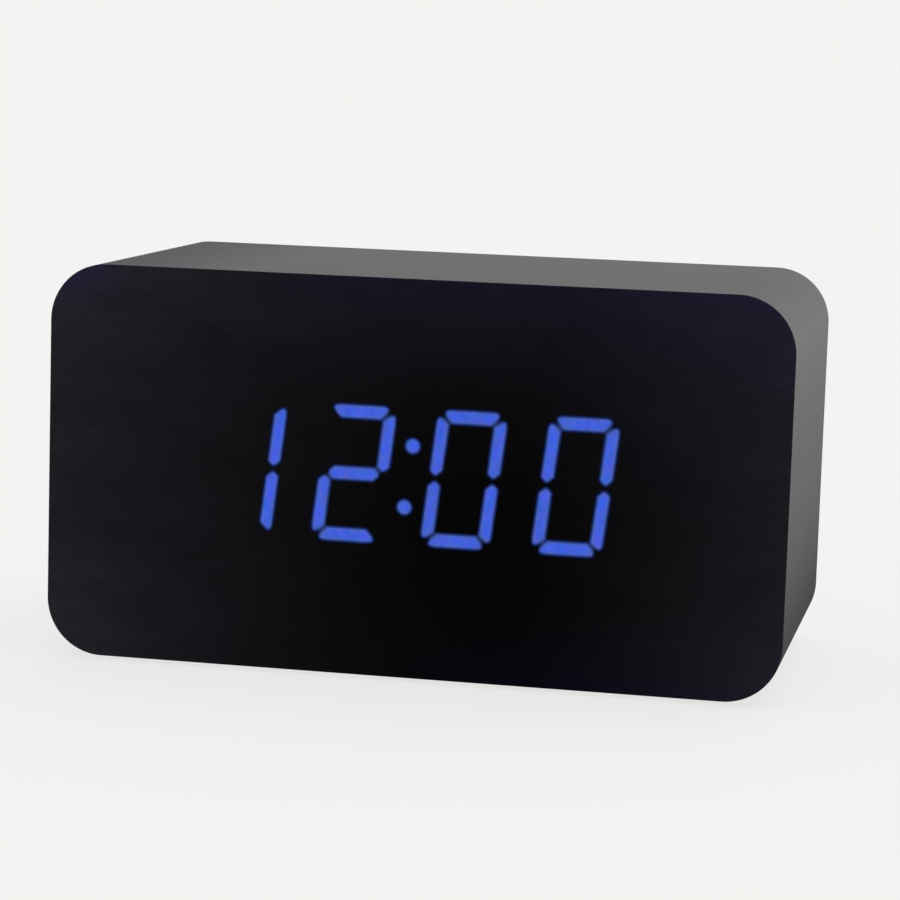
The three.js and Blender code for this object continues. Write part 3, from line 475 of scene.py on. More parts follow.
def makeCircuitBoard():
    finish = Finish("solderMask", Specular_IOR_Level=solderMask["specular"])
    lanes = finish.node("ShaderNodeTexBrick", {"offset": solderMask["laneOffset"]}, {
        "Vector": finish.stretched((1, 1, 1), (math.pi / 2, 0, 0)), "Scale": solderMask["laneScale"],
        "Mortar Size": solderMask["laneWidth"],
        "Color1": (0, 0, 0, 1), "Color2": (0, 0, 0, 1), "Mortar": (1, 1, 1, 1)}, output="Fac")
    return finish.give(
        Base_Color=finish.mix(lanes, solderMask["field"], solderMask["lane"]),
        Roughness=solderMask["roughness"] + lanes * solderMask["laneRoughness"],
        Normal=finish.bump(lanes, solderMask["strength"], solderMask["depth"]))


cellLook = {"sleeve": (0.035, 0.11, 0.24, 1), "ends": (0.42, 0.43, 0.44, 1), "left": -53.8,
            "sleeveStart": 15, "sleeveEnd": 34, "fade": 0.4, "specular": 0.5, "roughness": 0.3,
            "roughnessScale": 90, "roughnessSpread": 0.1}


def makeCellSleeve():
    finish = Finish("cellSleeve", Specular_IOR_Level=cellLook["specular"])
    x, _, _ = finish.axes()
    fromLeft = x / mm - cellLook["left"]
    start, end, fade = cellLook["sleeveStart"], cellLook["sleeveEnd"], cellLook["fade"]
    along = finish.between(fromLeft, start, start + fade) * (1 - finish.between(fromLeft, end, end + fade))
    mottle = finish.noise(cellLook["roughnessScale"], 2)
    return finish.give(
        Base_Color=finish.mix(along, cellLook["ends"], cellLook["sleeve"]),
        Roughness=cellLook["roughness"] + mottle * cellLook["roughnessSpread"])


finishes = {
    "case_wrap": makeWrap(),
    "front_film": makeFilm(),
    "lit_diffuser": makeGlow(),
    "raw_board": makeRawBoard(),
    "white_plastic": makeMoulded("whiteMoulding", 0.72, 0.45),
    "cover_plastic": makeMoulded("coverMoulding", 0.018, 0.52, 1300, 0.00015),
    "button_plastic": makeMoulded("buttonMoulding", 0.013, 0.3, 700, 0.00002),
    "chip_plastic": makeMoulded("chipMoulding", 0.012, 0.4),
    "circuit_board": makeCircuitBoard(),
    "cable_grey": makeMoulded("cableGrey", 0.33, 0.5),
    "red_lead": makeMoulded("redLead", 0.36, 0.45, tint=(1, 0.05, 0.04)),
    "black_lead": makeMoulded("blackLead", 0.014, 0.45),
    "screw_steel": makeMetal("blackenedScrew", (0.19, 0.19, 0.2, 1), 0.38, (1, 1, 0.1)),
    "contact_metal": makeMetal("nickelContact", (0.66, 0.64, 0.6, 1), 0.28, (1, 0.15, 1)),
    "cell_wrap": makeCellSleeve(),
    "foot_rubber": makeMoulded("footRubber", 0.03, 0.85, 1200, 0.00005),
}
slotOf = {part["node"]: part["material_slot"] for part in frame["record"]["subparts"]}
for name, node in frame["nodes"].items():
    if not node.material_slots:
        node.data.materials.append(None)
    for materialSlot in node.material_slots:
        materialSlot.material = finishes[slotOf[name]]
print("finishes: %d" % len(finishes))


# The camera, the floor and the light

camera = {  # turns in radians, the focal length and the frame in pixels
    "yaw": 0.2023, "pitch": 0.1384, "roll": 0.0309, "focus": 3019.07, "frame": 900, "distance": 515.43,
    "target": (6.8413, -32.5, 41.0985),
}


def placeCamera():
    yaw, pitch, roll = camera["yaw"], camera["pitch"], camera["roll"]
    ahead = Vector((-math.sin(yaw) * math.cos(pitch), math.cos(yaw) * math.cos(pitch), -math.sin(pitch)))
    level = Vector((math.cos(yaw), math.sin(yaw), 0))
    upward = level.cross(ahead)
    right = level * math.cos(roll) + upward * math.sin(roll)
    top = upward * math.cos(roll) - level * math.sin(roll)
    deselectAll()
    bpy.ops.object.camera_add()
    made = bpy.context.object
    made.data.lens = camera["focus"] / camera["frame"] * made.data.sensor_width
    made.data.clip_start = 0.01
    turn = Matrix((right, top, -ahead)).transposed().to_4x4()
    stand = (Vector(camera["target"]) - ahead * camera["distance"]) * mm
    made.matrix_world = Matrix.Translation(stand) @ turn
    bpy.context.scene.camera = made


studio = {
    "background": (0.905, 0.896, 0.880, 1), "floorColour": (0.905, 0.896, 0.880, 1), "floorCover": 0.82,
    "ambient": 0.74, "keyStrength": 1.0, "keyAngle": 70, "keyTurn": (-28, 18, 0),
}


def seenDirectly(finish):  # 1 for rays from the camera, a mirror or glass, which see the backdrop itself
    seen, mirrored, through = [finish.node("ShaderNodeLightPath", output=kind) for kind in
                               ("Is Camera Ray", "Is Glossy Ray", "Is Transmission Ray")]
    return seen.sum("MAXIMUM", seen + mirrored, through)


def setStudio():
    deselectAll()
    bpy.ops.mesh.primitive_plane_add(size=60)
    floor = bpy.context.object
    floor.name = "floor"
    look = Finish("floorPaper", Roughness=1.0, Specular_IOR_Level=0.0)
    look.give(Base_Color=studio["floorColour"])
    glowing = look.node("ShaderNodeEmission", None, {"Color": studio["background"]})
    paper = Wire(look, look.shader.outputs[0])
    shown = look.node("ShaderNodeMixShader", None, {
        0: seenDirectly(look) * studio["floorCover"], 1: paper, 2: glowing})
    look.put(look.tree.nodes["Material Output"], "Surface", shown)
    floor.data.materials.append(look.material)
    deselectAll()
    bpy.ops.object.light_add(type="SUN", rotation=[math.radians(turn) for turn in studio["keyTurn"]])
    key = bpy.context.object
    key.data.energy = studio["keyStrength"]
    key.data.angle = math.radians(studio["keyAngle"])
    sky = Surroundings("studio")
    bpy.context.scene.world = sky.material
    ambient = sky.node("ShaderNodeBackground", None, {"Color": (1, 1, 1, 1), "Strength": studio["ambient"]})
    backdrop = sky.node("ShaderNodeBackground", None, {"Color": studio["background"]})
    shown = sky.node("ShaderNodeMixShader", None, {0: seenDirectly(sky), 1: ambient, 2: backdrop})
    sky.put(sky.tree.nodes["World Output"], "Surface", shown)
    bpy.context.scene.view_settings.view_transform = "Standard"


placeCamera()
setStudio()
print("camera, floor and light set")


# The block

block = {
    "width": 130, "low": 0.8, "high": 70, "front": -32.5, "back": 32.5, "radius": 10, "cornerSteps": 28,
    "filmThickness": 0.5, "frontRim": 6, "frontSeat": 5, "frontLedge": 3, "rearRim": 3, "rearSeat": 3.2,
    "rearLedge": 6, "frontEdge": 0.22, "rearEdge": 0.45,
}
caseMidZ = (block["low"] + block["high"]) / 2


def roundedBlock(name, halfWidth, low, high, y0, y1, radius, steps):
    piece = addBox(name, (-halfWidth, y0, low), (halfWidth, y1, high))
    roundEdges(piece, runsInDepth, radius, steps)
    return piece


def flatAt(y):  # faces that lie flat in one upright plane
    return lambda middle, normal: abs(normal.y) > 0.999 and abs(middle.y - y) < near


def innerAt(y):  # of those, the one in the middle
    return lambda middle, normal: flatAt(y)(middle, normal) and abs(middle.x) < 1 and \
        abs(middle.z - caseMidZ) < 1


def makeCase():  # seats for the front board and the rear cover, and a tunnel from one to the other
    front, back = block["front"] + block["filmThickness"], block["back"]
    case = roundedBlock("case", block["width"] / 2, block["low"], block["high"], front, back,
                        block["radius"], block["cornerSteps"])
    roundEdges(case, edgesAt(back), block["rearEdge"], 3)
    rearFloor, frontFloor = back - block["rearSeat"], front + block["frontSeat"]
    insetFaces(case, flatAt(back), block["rearRim"] - block["rearEdge"])
    pushFaces(case, innerAt(back), (0, -block["rearSeat"], 0))
    insetFaces(case, innerAt(rearFloor), block["rearLedge"])
    insetFaces(case, flatAt(front), block["frontRim"])
    pushFaces(case, innerAt(front), (0, block["frontSeat"], 0))
    insetFaces(case, innerAt(frontFloor), block["frontLedge"])
    floors = innerAt(rearFloor), innerAt(frontFloor)
    pickFaces(case, lambda middle, normal: any(wanted(middle, normal) for wanted in floors))
    bpy.ops.mesh.bridge_edge_loops()
    stopEditing()
    finishPiece(case, "root", "case_wrap", "case_shell")


makeCase()
print("case made")


# The display: each segment is a bar trimmed at its ends, softened at its tips and leaned over

display = {
    "lit": ["bc", "abged", "abcdef", "abcdef"], "height": 23.8, "width": 12.25, "pitch": 19.35,
    "slant": 6.5, "levelThickness": 2.32, "uprightThickness": 2.17, "gap": 0.42, "tip": 0.65, "tipSteps": 6,
    "middleX": -0.27, "middleZ": 36.05, "dotRadius": 1.28, "dotRise": 5.34, "halo": 0.4, "rim": 0.5,
    "spread": 0.34, "meetingSpread": 0.18, "shared": 0.5, "sharedReach": 0.85, "windowGap": 0.01,
    "plateMargin": 0.8, "plateThickness": 0.6, "plateRadius": 0.6, "plateGap": 0.02, "padOverlap": 0.1,
    "colonMargin": 0.5,
}
lean = math.tan(math.radians(display["slant"]))
segmentKinds = {  # each one's bar, its mirroring sideways and in height, and what its ends meet
    "a": ("level", 1, 1, "fb"), "b": ("upright", -1, 1, "ag "), "c": ("upright", -1, -1, "dg "),
    "d": ("level", 1, -1, "ec"), "e": ("upright", 1, -1, "dg "), "f": ("upright", 1, 1, "ag "),
    "g": ("middle", 1, 1, "febc"),
}


def segmentPlan(kind):  # a bar's sides, and its end cuts, each as a direction and how far out it is
    halfWidth, halfHeight = display["width"] / 2, display["height"] / 2
    level, upright = display["levelThickness"], display["uprightThickness"]
    back = display["gap"] / math.sqrt(2)
    reach = halfWidth - upright / 2 - back
    if kind == "level":
        sides = (-halfWidth, halfWidth, halfHeight - level, halfHeight)
        ends = [(-1, -1, halfWidth - halfHeight - back), (1, -1, halfWidth - halfHeight - back)]
    elif kind == "upright":
        sides = (-halfWidth, upright - halfWidth, 0, halfHeight)
        ends = [(1, 1, halfHeight - halfWidth - back), (1, -1, upright / 2 - halfWidth - back),
                (-1, -1, reach)]
    else:
        sides = (-halfWidth, halfWidth, -level / 2, level / 2)
        ends = [(-1, 1, reach), (-1, -1, reach), (1, 1, reach), (1, -1, reach)]
    return sides, ends


def leanOver(piece, midX):
    move = Matrix.Identity(4)
    move[0][2] = lean
    move[0][3], move[2][3] = midX * mm, display["middleZ"] * mm
    piece.data.transform(move)


def roundTips(bar, radius):  # each corner to the same radius, however sharp it is
    pickEdges(bar, lambda middle, along, turn: False)  # edit mode and back, for fresh normals
    stopEditing()
    corners = []

    def note(middle, along, turn):
        if runsInDepth(middle, along, turn):
            corners.append((middle.x, middle.z, math.radians(180 - turn) / 2))
        return False

    pickEdges(bar, note)
    stopEditing()
    for x, z, half in corners:
        reach = radius * (1 / math.sin(half) - 1) / (2 - math.sqrt(2)) / math.cos(half)
        roundEdges(bar, lambda middle, along, turn: runsInDepth(middle, along, turn)
                   and math.hypot(middle.x - x, middle.z - z) < 0.005, reach, display["tipSteps"])


def makeSegment(letter, lit, midX, y0, y1, margin=0.0):
    # the light spreads past the bar, less where two lit bars meet, and the cuts end its length
    kind, signX, signZ, met = segmentKinds[letter]
    larger = display["spread"] + margin
    (left, right, low, high), ends = segmentPlan(kind)
    moreX, moreZ = (larger, 2 * larger) if kind == "upright" else (2 * larger, larger)
    xs = sorted((signX * (left - moreX), signX * (right + moreX)))
    zs = sorted((signZ * (low - moreZ), signZ * (high + moreZ)))
    bar = addBox("segment", (xs[0], y0, zs[0]), (xs[1], y1, zs[1]))
    for (towardX, towardZ, reach), neighbour in zip(ends, met):
        normal = Vector((signX * towardX, 0, signZ * towardZ)).normalized()
        spread = display["meetingSpread"] if neighbour in lit else display["spread"]
        trim(bar, normal, reach / math.sqrt(2) + spread + margin)
    leanOver(bar, midX)
    roundTips(bar, display["tip"] + larger)
    return bar


def markCore(pad, faceY):  # 1 over the middle of its face, 0.5 on a ring round that, and 0 at its outline
    insetFaces(pad, lambda middle, normal: normal.y < -0.9 and abs(middle.y - faceY) < near,
               display["halo"])
    bpy.ops.object.mode_set(mode="EDIT")
    bpy.ops.mesh.inset(thickness=display["rim"] * mm, use_even_offset=True)
    stopEditing()
    mesh = pad.data
    inner = {index for face in mesh.polygons if face.select for index in face.vertices}
    ring = {index for edge in mesh.edges for index in edge.vertices if len(inner & set(edge.vertices)) == 1}
    core = mesh.attributes.new("core", "FLOAT", "POINT")
    core.data.foreach_set("value", [1.0 if index in inner else 0.5 if index in ring else 0.0
                                    for index in range(len(mesh.vertices))])
    return pad


def shareGlow(pads):  # where two bars nearly meet, each lights the other's outline
    for pad in pads:
        core = pad.data.attributes["core"].data
        for vertex in pad.data.vertices:
            if core[vertex.index].value < 1:
                away = min((other.closest_point_on_mesh(vertex.co)[1] - vertex.co).length / mm
                           for other in pads if other is not pad)
                share = max(0, 1 - away / display["sharedReach"]) ** 2
                core[vertex.index].value += display["shared"] * share
    return pads


def digitX(index):
    return display["middleX"] + (index - 1.5) * display["pitch"]


def dotPlaces():
    return [(display["middleX"] + side * display["dotRise"] * lean,
             display["middleZ"] + side * display["dotRise"]) for side in (-1, 1)]


def makeDisplay():
    faceY, filmBack = block["front"], block["front"] + block["filmThickness"]
    plateFront, plateBack = filmBack + display["plateGap"], filmBack + display["plateThickness"]
    padBack = filmBack + display["padOverlap"]
    reachX = display["width"] / 2 + display["plateMargin"]
    reachZ = display["height"] / 2 + display["plateMargin"]
    for index, letters in enumerate(display["lit"]):
        plate = addBox("plate", (-reachX, plateFront, -reachZ), (reachX, plateBack, reachZ))
        roundEdges(plate, runsInDepth, display["plateRadius"], 3)
        leanOver(plate, digitX(index))
        pads = [markCore(makeSegment(letter, letters, digitX(index), faceY, padBack), faceY)
                for letter in letters]
        digit = joined("digit_%d" % (index + 1), [plate] + shareGlow(pads))
        finishPiece(digit, "root", "lit_diffuser", "digit_diffuser_%d" % (index + 1))
    colonReach = display["dotRadius"] + display["colonMargin"]
    plate = addBox("plate", (-colonReach, plateFront, -reachZ), (colonReach, plateBack, reachZ))
    leanOver(plate, display["middleX"])
    dotReach = display["dotRadius"] + display["spread"]
    dots = [markCore(addRodY("dot", x, z, dotReach, faceY, padBack), faceY) for x, z in dotPlaces()]
    colon = joined("colon", [plate] + dots)
    finishPiece(colon, "root", "lit_diffuser", "colon_diffuser")


def makeFilmSheet():
    faceY, filmBack = block["front"], block["front"] + block["filmThickness"]
    sheet = roundedBlock("front_face", block["width"] / 2, block["low"], block["high"], faceY, filmBack,
                         block["radius"], block["cornerSteps"])
    roundEdges(sheet, edgesAt(faceY), block["frontEdge"], 3)
    gap = display["windowGap"]
    windows = [makeSegment(letter, letters, digitX(index), faceY - 1, filmBack + 1, gap)
               for index, letters in enumerate(display["lit"]) for letter in letters]
    dotReach = display["dotRadius"] + display["spread"] + gap
    windows += [addRodY("window", x, z, dotReach, faceY - 1, filmBack + 1) for x, z in dotPlaces()]
    combine(sheet, "DIFFERENCE", windows)
    finishPiece(sheet, "root", "front_film", "front_film")


makeDisplay()
makeFilmSheet()
print("display made")


# The rear cover, its door and latch

cover = {
    "inset": 3.3, "radius": 6.7, "inner": 29.3, "outer": 31.5, "edge": 0.25,
    "tray": ((-55.0, 17.5, 12.2), (-3.1, 29.6, 58.6)), "bay": ((-53.8, 18.7, 13.4), (-4.3, 33, 57.4)),
    "doorSeat": ((-55.3, 30.0, 11.9), (4.4, 33, 58.9)),
    "latchPocket": ((-2.4, 28.3, 29.1), (2.9, 33, 41.7)),
    "screwPlaces": [(-59, 12.3), (59, 12.3), (59, 58.5), (-59, 58.5)], "screwHole": 1.6,
    "counterbore": 2.9, "counterboreDepth": 1.3, "bayRadius": 1.2, "plateSteps": 20,
    "buttonX": (17.55, 30.55, 43.55), "buttonZ": 46.4, "buttonHole": 3.3,
    "socket": (18.05, 24.9), "socketHole": 3.9,
    "slotX": [43.05 + step * 2.8 for step in (-1.5, -0.5, 0.5, 1.5)], "slotZ": 24.9, "slotWidth": 1.2,
    "slotLength": 9, "tongueZ": (24.4, 46.4), "tongueSlotX": (-56, -52.8), "tongueSlotY": (27.4, 29.3),
    "tongueSlotHalf": 2.3,
}


def addSlot(name, x, z, width, length, y0, y1):  # an upright slot with round ends
    slot = addBox(name, (x - width / 2, y0, z - length / 2), (x + width / 2, y1, z + length / 2))
    roundEdges(slot, runsInDepth, width * 0.49, 5)
    return slot


def makeCover():
    halfWidth = block["width"] / 2 - cover["inset"]
    plate = roundedBlock("rear_cover_skin", halfWidth, block["low"] + cover["inset"],
                         block["high"] - cover["inset"], cover["inner"], cover["outer"],
                         cover["radius"], cover["plateSteps"])
    combine(plate, "UNION", [addBox("tray", *cover["tray"])])
    for name in ("doorSeat", "latchPocket"):
        combine(plate, "DIFFERENCE", [addBox(name, *cover[name])])
    bay = addBox("bay", *cover["bay"])
    roundEdges(bay, edgesAt(cover["bay"][0][1]), cover["bayRadius"], 4)
    combine(plate, "DIFFERENCE", [bay])
    over, under = cover["outer"] + 1, cover["inner"] - 1
    holes = [addRodY("hole", x, z, cover["screwHole"], under - 3, over) for x, z in cover["screwPlaces"]]
    holes += [addRodY("hole", x, cover["buttonZ"], cover["buttonHole"], under, over)
              for x in cover["buttonX"]]
    holes.append(addRodY("hole", *cover["socket"], cover["socketHole"], under, over))
    holes += [addSlot("slit", x, cover["slotZ"], cover["slotWidth"], cover["slotLength"], under, over)
              for x in cover["slotX"]]
    (x0, x1), (y0, y1), half = cover["tongueSlotX"], cover["tongueSlotY"], cover["tongueSlotHalf"]
    holes += [addBox("tongueSlot", (x0, y0, z - half), (x1, y1, z + half)) for z in cover["tongueZ"]]
    combine(plate, "DIFFERENCE", holes)
    sinks = [addRodY("sink", x, z, cover["counterbore"], cover["outer"] - cover["counterboreDepth"], over)
             for x, z in cover["screwPlaces"]]
    combine(plate, "DIFFERENCE", sinks)
    softenEdges(plate, cover["edge"])
    finishPiece(plate, "root", "cover_plastic", "rear_cover")


door = {
    "plate": ((-55.0, 30.0, 12.2), (4.1, 31.5, 58.6)), "notch": ((-2.1, 29, 29.1), (5, 33, 41.7)),
    "webX": (-53.5, -52.6), "webY": (27.9, 30.75), "hookX": -54.8, "hookY": (27.9, 28.8), "tongueHalf": 2,
    "edge": 0.25, "gripX": (-10.6, -8.2, -5.8), "gripWidth": 1.1, "gripLength": 15, "gripDepth": 0.35,
}


def makeDoor():
    plate = addBox("door", *door["plate"])
    outer = door["plate"][1][1]
    grips = [addSlot("grip", x, caseMidZ, door["gripWidth"], door["gripLength"],
                     outer - door["gripDepth"], outer + 1.5) for x in door["gripX"]]
    combine(plate, "DIFFERENCE", [addBox("notch", *door["notch"])] + grips)
    (left, right), (back, front), (hookBack, hookFront) = door["webX"], door["webY"], door["hookY"]
    for z in cover["tongueZ"]:
        low, high = z - door["tongueHalf"], z + door["tongueHalf"]
        combine(plate, "UNION", [addBox("web", (left, back, low), (right, front, high))])
        combine(plate, "UNION", [addBox("hook", (door["hookX"], hookBack, low), (right, hookFront, high))])
    softenEdges(plate, door["edge"])
    finishPiece(plate, "battery_door", "cover_plastic", "battery_door")


latch = {"left": -2.1, "thickness": 0.9, "legDepth": 3.6, "legX": 4.7, "length": 6.2, "halfWidth": 6,
         "tabThickness": 1.2, "hookTop": 2.5, "hookReach": 0.9, "bendSteps": 14, "edge": 0.15}


def makeLatch():  # a strip bent to a U, with a finger tab and a hook on its free leg
    left, outer = latch["left"], cover["outer"]
    low, high = caseMidZ - latch["halfWidth"], caseMidZ + latch["halfWidth"]
    deep, legRight = outer - latch["legDepth"], left + latch["legX"]
    strip = addBox("door_latch", (left, deep, low), (left + latch["thickness"], outer, high))
    pickFaces(strip, lambda middle, normal: normal.y < -0.9)
    bpy.ops.mesh.spin(steps=latch["bendSteps"], angle=math.pi, axis=(0, 0, 1),
                      center=((left + latch["legX"] / 2) * mm, deep * mm, caseMidZ * mm))
    stopEditing()

    def onLeg(middle, normal):
        return legRight - latch["thickness"] < middle.x < legRight and normal.y > 0.9

    for level in (latch["hookTop"], latch["tabThickness"], 0):
        top = max((face.center.y / mm for face in strip.data.polygons
                   if onLeg(face.center / mm, face.normal)), default=deep)
        pushFaces(strip, onLeg, (0, outer - level - top, 0))

    def outsideLeg(y0, y1):
        return lambda middle, normal: normal.x > 0.9 and abs(middle.x - legRight) < near \
            and y0 < middle.y < y1

    tabReach = latch["length"] - latch["legX"]
    pushFaces(strip, outsideLeg(outer - latch["tabThickness"], outer), (tabReach, 0, 0))
    pushFaces(strip, outsideLeg(deep, outer - latch["hookTop"]), (latch["hookReach"], 0, 0))
    pickEdges(strip, lambda middle, along, turn: abs(along.z) > 0.9 and middle.y < deep + near
              and middle.x > legRight + 0.5)  # the hook's deep corner goes back, for a slope
    bpy.ops.transform.translate(value=(-latch["hookReach"] * mm, 0, 0))
    stopEditing()
    takeUp(strip)
    bpy.ops.object.mode_set(mode="EDIT")
    bpy.ops.mesh.select_all(action="SELECT")
    bpy.ops.mesh.remove_doubles(threshold=near * mm)
    bpy.ops.mesh.normals_make_consistent(inside=False)
    stopEditing()
    softenEdges(strip, latch["edge"])
    finishPiece(strip, "battery_door", "cover_plastic", "battery_door_latch")


makeCover()
makeDoor()
makeLatch()
print("cover, door and latch made")


# What stands on the cover: buttons, socket, screws

button = {"flangeRadius": 4.2, "flangeBack": 28.0, "flangeFront": 29.0, "flangeEdge": 0.12, "radius": 3,
          "face": 32.2, "edge": 0.4, "dishMargin": 0.75, "dishDepth": 0.18, "sides": 56}


def makeButtons():
    z, flangeFront, face = cover["buttonZ"], button["flangeFront"], button["face"]
    for name, x in zip(("set", "up", "down"), cover["buttonX"]):
        cap = addRodY("cap_" + name, x, z, button["flangeRadius"], button["flangeBack"], flangeFront,
                      button["sides"])
        outside = facesAbout(x, z)
        insetFaces(cap, outside, button["flangeRadius"] - button["radius"])
        pushFaces(cap, outside, (0, face - flangeFront, 0))
        roundEdges(cap, edgesAt(face), button["edge"], 5)
        for ring in range(2):
            insetFaces(cap, outside, button["dishMargin"])
        pickFaces(cap, outside)
        bpy.ops.transform.translate(value=(0, -button["dishDepth"] * mm, 0))
        stopEditing()
        roundEdges(cap, edgesAt(flangeFront, 60), button["flangeEdge"], 2)
        finishPiece(cap, name + "_button", "button_plastic", name + "_button", 40)


socket = {"bodyHalf": 4.25, "bodyY": (23.0, 29.0), "bodyEdge": 0.3, "nose": 3.6, "noseY": (24.6, 31.5),
          "noseEdge": 0.22, "noseSides": 64, "bore": 1.8, "boreFloor": 25.0, "pin": 0.6,
          "pinY": (23.8, 30.3), "pinEdge": 0.45, "pinSides": 32}


def makeSocket():
    x, z = cover["socket"]
    noseFront, pinFront = socket["noseY"][1], socket["pinY"][1]
    nose = addRodY("nose", x, z, socket["nose"], *socket["noseY"], socket["noseSides"])
    insetFaces(nose, facesAbout(x, z), socket["nose"] - socket["bore"])
    pushFaces(nose, facesAbout(x, z), (0, socket["boreFloor"] - noseFront, 0))
    roundEdges(nose, edgesAt(noseFront, 60), socket["noseEdge"], 3)
    half, (bodyBack, bodyFront) = socket["bodyHalf"], socket["bodyY"]
    body = addBox("body", (x - half, bodyBack, z - half), (x + half, bodyFront, z + half))
    softenEdges(body, socket["bodyEdge"])
    pin = addRodY("pin", x, z, socket["pin"], *socket["pinY"], socket["pinSides"])
    roundEdges(pin, edgesAt(pinFront), socket["pinEdge"], 4)
    for part in (nose, body):
        part.data.materials.append(finishes["chip_plastic"])
    pin.data.materials.append(finishes["contact_metal"])
    whole = joined("power_inlet", [nose, body, pin])
    finishPiece(whole, "root", "chip_plastic", "power_socket")


screw = {"head": 2.6, "headHeight": 1.3, "headEdge": 0.4, "shank": 1.3, "length": 9, "point": 1.4,
         "pointShare": 0.08, "crossHalf": 1.69, "crossWidth": 0.6, "crossDepth": 0.7, "sides": 40}


def makeScrews():
    headBack, headFront = cover["outer"] - screw["headHeight"], cover["outer"]
    first = addRodY("screw", 0, 0, screw["head"], headBack, headFront, screw["sides"])
    inside = facesAbout(0, 0, -1)
    insetFaces(first, inside, screw["head"] - screw["shank"])
    pushFaces(first, inside, (0, screw["point"] - screw["length"], 0))
    pushFaces(first, inside, (0, -screw["point"], 0))
    pickFaces(first, inside)
    share = screw["pointShare"]
    bpy.ops.transform.resize(value=(share, 1, share), center_override=(0, headBack * mm, 0))
    stopEditing()
    roundEdges(first, edgesAt(headFront), screw["headEdge"], 4)
    floor, halfWidth = headFront - screw["crossDepth"], screw["crossWidth"] / 2
    for reachX, reachZ in ((screw["crossHalf"], halfWidth), (halfWidth, screw["crossHalf"])):
        combine(first, "DIFFERENCE", [addBox("recess", (-reachX, floor, -reachZ),
                                             (reachX, headFront + 1, reachZ))])
    for index, (x, z) in enumerate(cover["screwPlaces"]):
        made = copied(first, "case_screw_%d" % (index + 1), (x, 0, z))
        finishPiece(made, "root", "screw_steel", "cover_screw_%d" % (index + 1))
    bpy.data.objects.remove(first)


foot = {"places": [(-49, -19.5), (49, -19.5), (49, 19.5), (-49, 19.5)], "radius": 4, "height": 0.8,
        "edge": 0.22}


def makeFeet():
    for index, (x, y) in enumerate(foot["places"]):
        pad = addRod("pad_%d" % (index + 1), "z", (x, y, foot["height"] / 2), foot["radius"],
                     foot["height"])
        roundEdges(pad, lambda middle, along, turn: middle.z < near, foot["edge"], 3)
        finishPiece(pad, "root", "foot_rubber", "foot_%d" % (index + 1))


makeButtons()
makeSocket()
makeScrews()
makeFeet()
print("buttons, socket, screws and feet made")


# Inside the bay: cells and their contacts

cell = {"radius": 5.25, "length": 44.5, "nub": 1.9, "nubHeight": 0.8, "edge": 0.5, "y": 24.25,
        "z": (18.9, 29.9, 40.9, 51.9), "leftX": -50.2, "rightX": -7.9, "dish": 3.3, "dishDepth": 0.15,
        "sides": 56}


def makeCells():  # the positive ends are to the right and to the left by turns
    for index, z in enumerate(cell["z"]):
        sign = (1, -1)[index % 2]
        flatEnd = cell["leftX"] if sign > 0 else cell["rightX"]
        shoulder = flatEnd + sign * (cell["length"] - cell["nubHeight"])
        can = addRod("cell_%d" % (index + 1), "x", ((flatEnd + shoulder) / 2, cell["y"], z),
                     cell["radius"], abs(shoulder - flatEnd), cell["sides"])

        def nearAxis(middle, reach):
            return math.hypot(middle.y - cell["y"], middle.z - z) < reach

        def endFace(way):
            return lambda middle, normal: normal.x * way > 0.9 and nearAxis(middle, 0.5)

        roundEdges(can, lambda middle, along, turn: turn > 60, cell["edge"], 4)
        insetFaces(can, endFace(sign), cell["radius"] - cell["edge"] - cell["nub"])
        pushFaces(can, endFace(sign), (sign * cell["nubHeight"], 0, 0))
        insetFaces(can, endFace(-sign), cell["radius"] - cell["edge"] - cell["dish"])
        pushFaces(can, endFace(-sign), (sign * cell["dishDepth"], 0, 0))
        for slot in ("cell_wrap", "contact_metal"):
            can.data.materials.append(finishes[slot])
        for face in can.data.polygons:
            bare = abs(face.normal.x) > 0.9 or nearAxis(face.center / mm, cell["nub"] + 0.1)
            face.material_index = 1 if bare else 0
        finishPiece(can, "root", "cell_wrap", "battery_cell_%d" % (index + 1))


contact = {"thickness": 0.4, "half": 3.5, "corner": 0.8, "springLength": 2.9, "wire": 0.25, "base": 3.08,
           "tip": 1.68, "turns": 3, "stepsPerTurn": 28, "studLength": 0.7, "studBase": 2.38,
           "studTip": 1.47, "studEdge": 0.12, "studSides": 32, "tabReach": 2.4, "tabHalf": 1.5,
           "tabOverlap": 1, "left": -53.8, "right": -4.3, "trayBack": 17.5}
contactPlan = {  # side, the cells it serves with whether each end is sprung, and whether it has a tab
    "contact_link_1": (-1, [(0, True), (1, False)], False),
    "contact_link_2": (1, [(1, True), (2, False)], False),
    "contact_link_3": (-1, [(2, True), (3, False)], False),
    "contact_positive": (1, [(0, False)], True),
    "contact_negative": (1, [(3, True)], True),
}


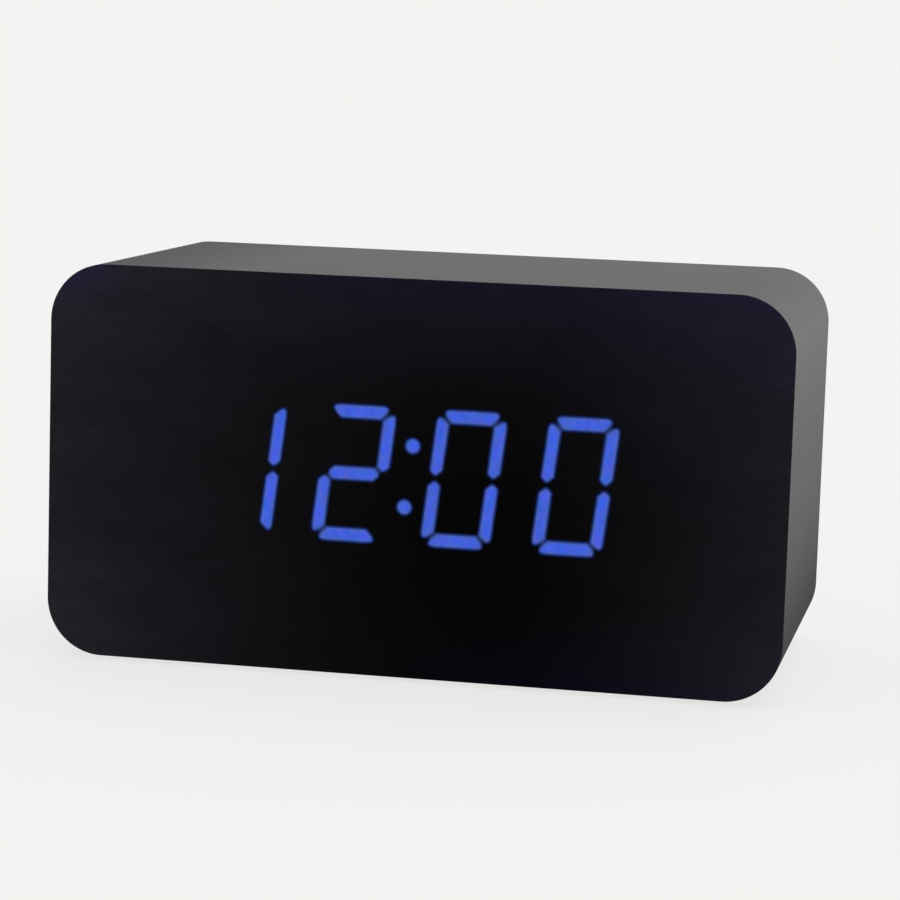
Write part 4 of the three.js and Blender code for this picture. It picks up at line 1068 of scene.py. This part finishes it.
def makeSpring(faceX, sign, z):  # a conical coil of wire, as a curve made into a mesh
    curve = bpy.data.curves.new("coil", "CURVE")
    curve.dimensions = "3D"
    curve.bevel_depth = contact["wire"] * mm
    curve.bevel_resolution = 3
    curve.use_fill_caps = True
    line = curve.splines.new("POLY")
    steps = contact["turns"] * contact["stepsPerTurn"]
    line.points.add(steps)
    for i in range(steps + 1):
        share = i / steps
        angle = 2 * math.pi * contact["turns"] * share
        radius = contact["base"] + (contact["tip"] - contact["base"]) * share
        x = faceX - sign * contact["springLength"] * share
        y = cell["y"] + radius * math.cos(angle)
        line.points[i].co = (x * mm, y * mm, (z + radius * math.sin(angle)) * mm, 1)
    coil = bpy.data.objects.new("coil", curve)
    bpy.context.scene.collection.objects.link(coil)
    takeUp(coil)
    bpy.ops.object.convert(target="MESH")
    return bpy.context.object


def makeStud(faceX, sign, z):
    length = contact["studLength"]
    stud = addRod("stud", "x", (faceX - sign * length / 2, cell["y"], z), contact["studBase"], length,
                  contact["studSides"])
    pickFaces(stud, lambda middle, normal: normal.x * sign < -0.9)
    shrink = contact["studTip"] / contact["studBase"]
    bpy.ops.transform.resize(value=(1, shrink, shrink),
                             center_override=((faceX - sign * length) * mm, cell["y"] * mm, z * mm))
    stopEditing()
    softenEdges(stud, contact["studEdge"], 2, 40)
    return stud


def makeContacts():
    half, tabHalf = contact["half"], contact["tabHalf"]
    for name, (sign, ends, tabbed) in contactPlan.items():
        wallX = contact["right"] if sign > 0 else contact["left"]
        faceX = wallX - sign * contact["thickness"]
        x0, x1 = sorted((wallX, faceX))
        levels = [cell["z"][index] for index, sprung in ends]
        plate = addBox("plate", (x0, cell["y"] - half, min(levels) - half),
                       (x1, cell["y"] + half, max(levels) + half))
        roundEdges(plate, lambda middle, along, turn: abs(along.x) > 0.9, contact["corner"], 4)
        parts = [plate]
        for z, (index, sprung) in zip(levels, ends):
            parts.append((makeSpring if sprung else makeStud)(faceX, sign, z))
        if tabbed:
            parts.append(addBox("tab", (x0, contact["trayBack"] - contact["tabReach"], levels[0] - tabHalf),
                                (x1, cell["y"] - half + contact["tabOverlap"], levels[0] + tabHalf)))
        finishPiece(joined(name + "_strip", parts), "root", "contact_metal", name)


makeCells()
makeContacts()
print("cells and contacts made")
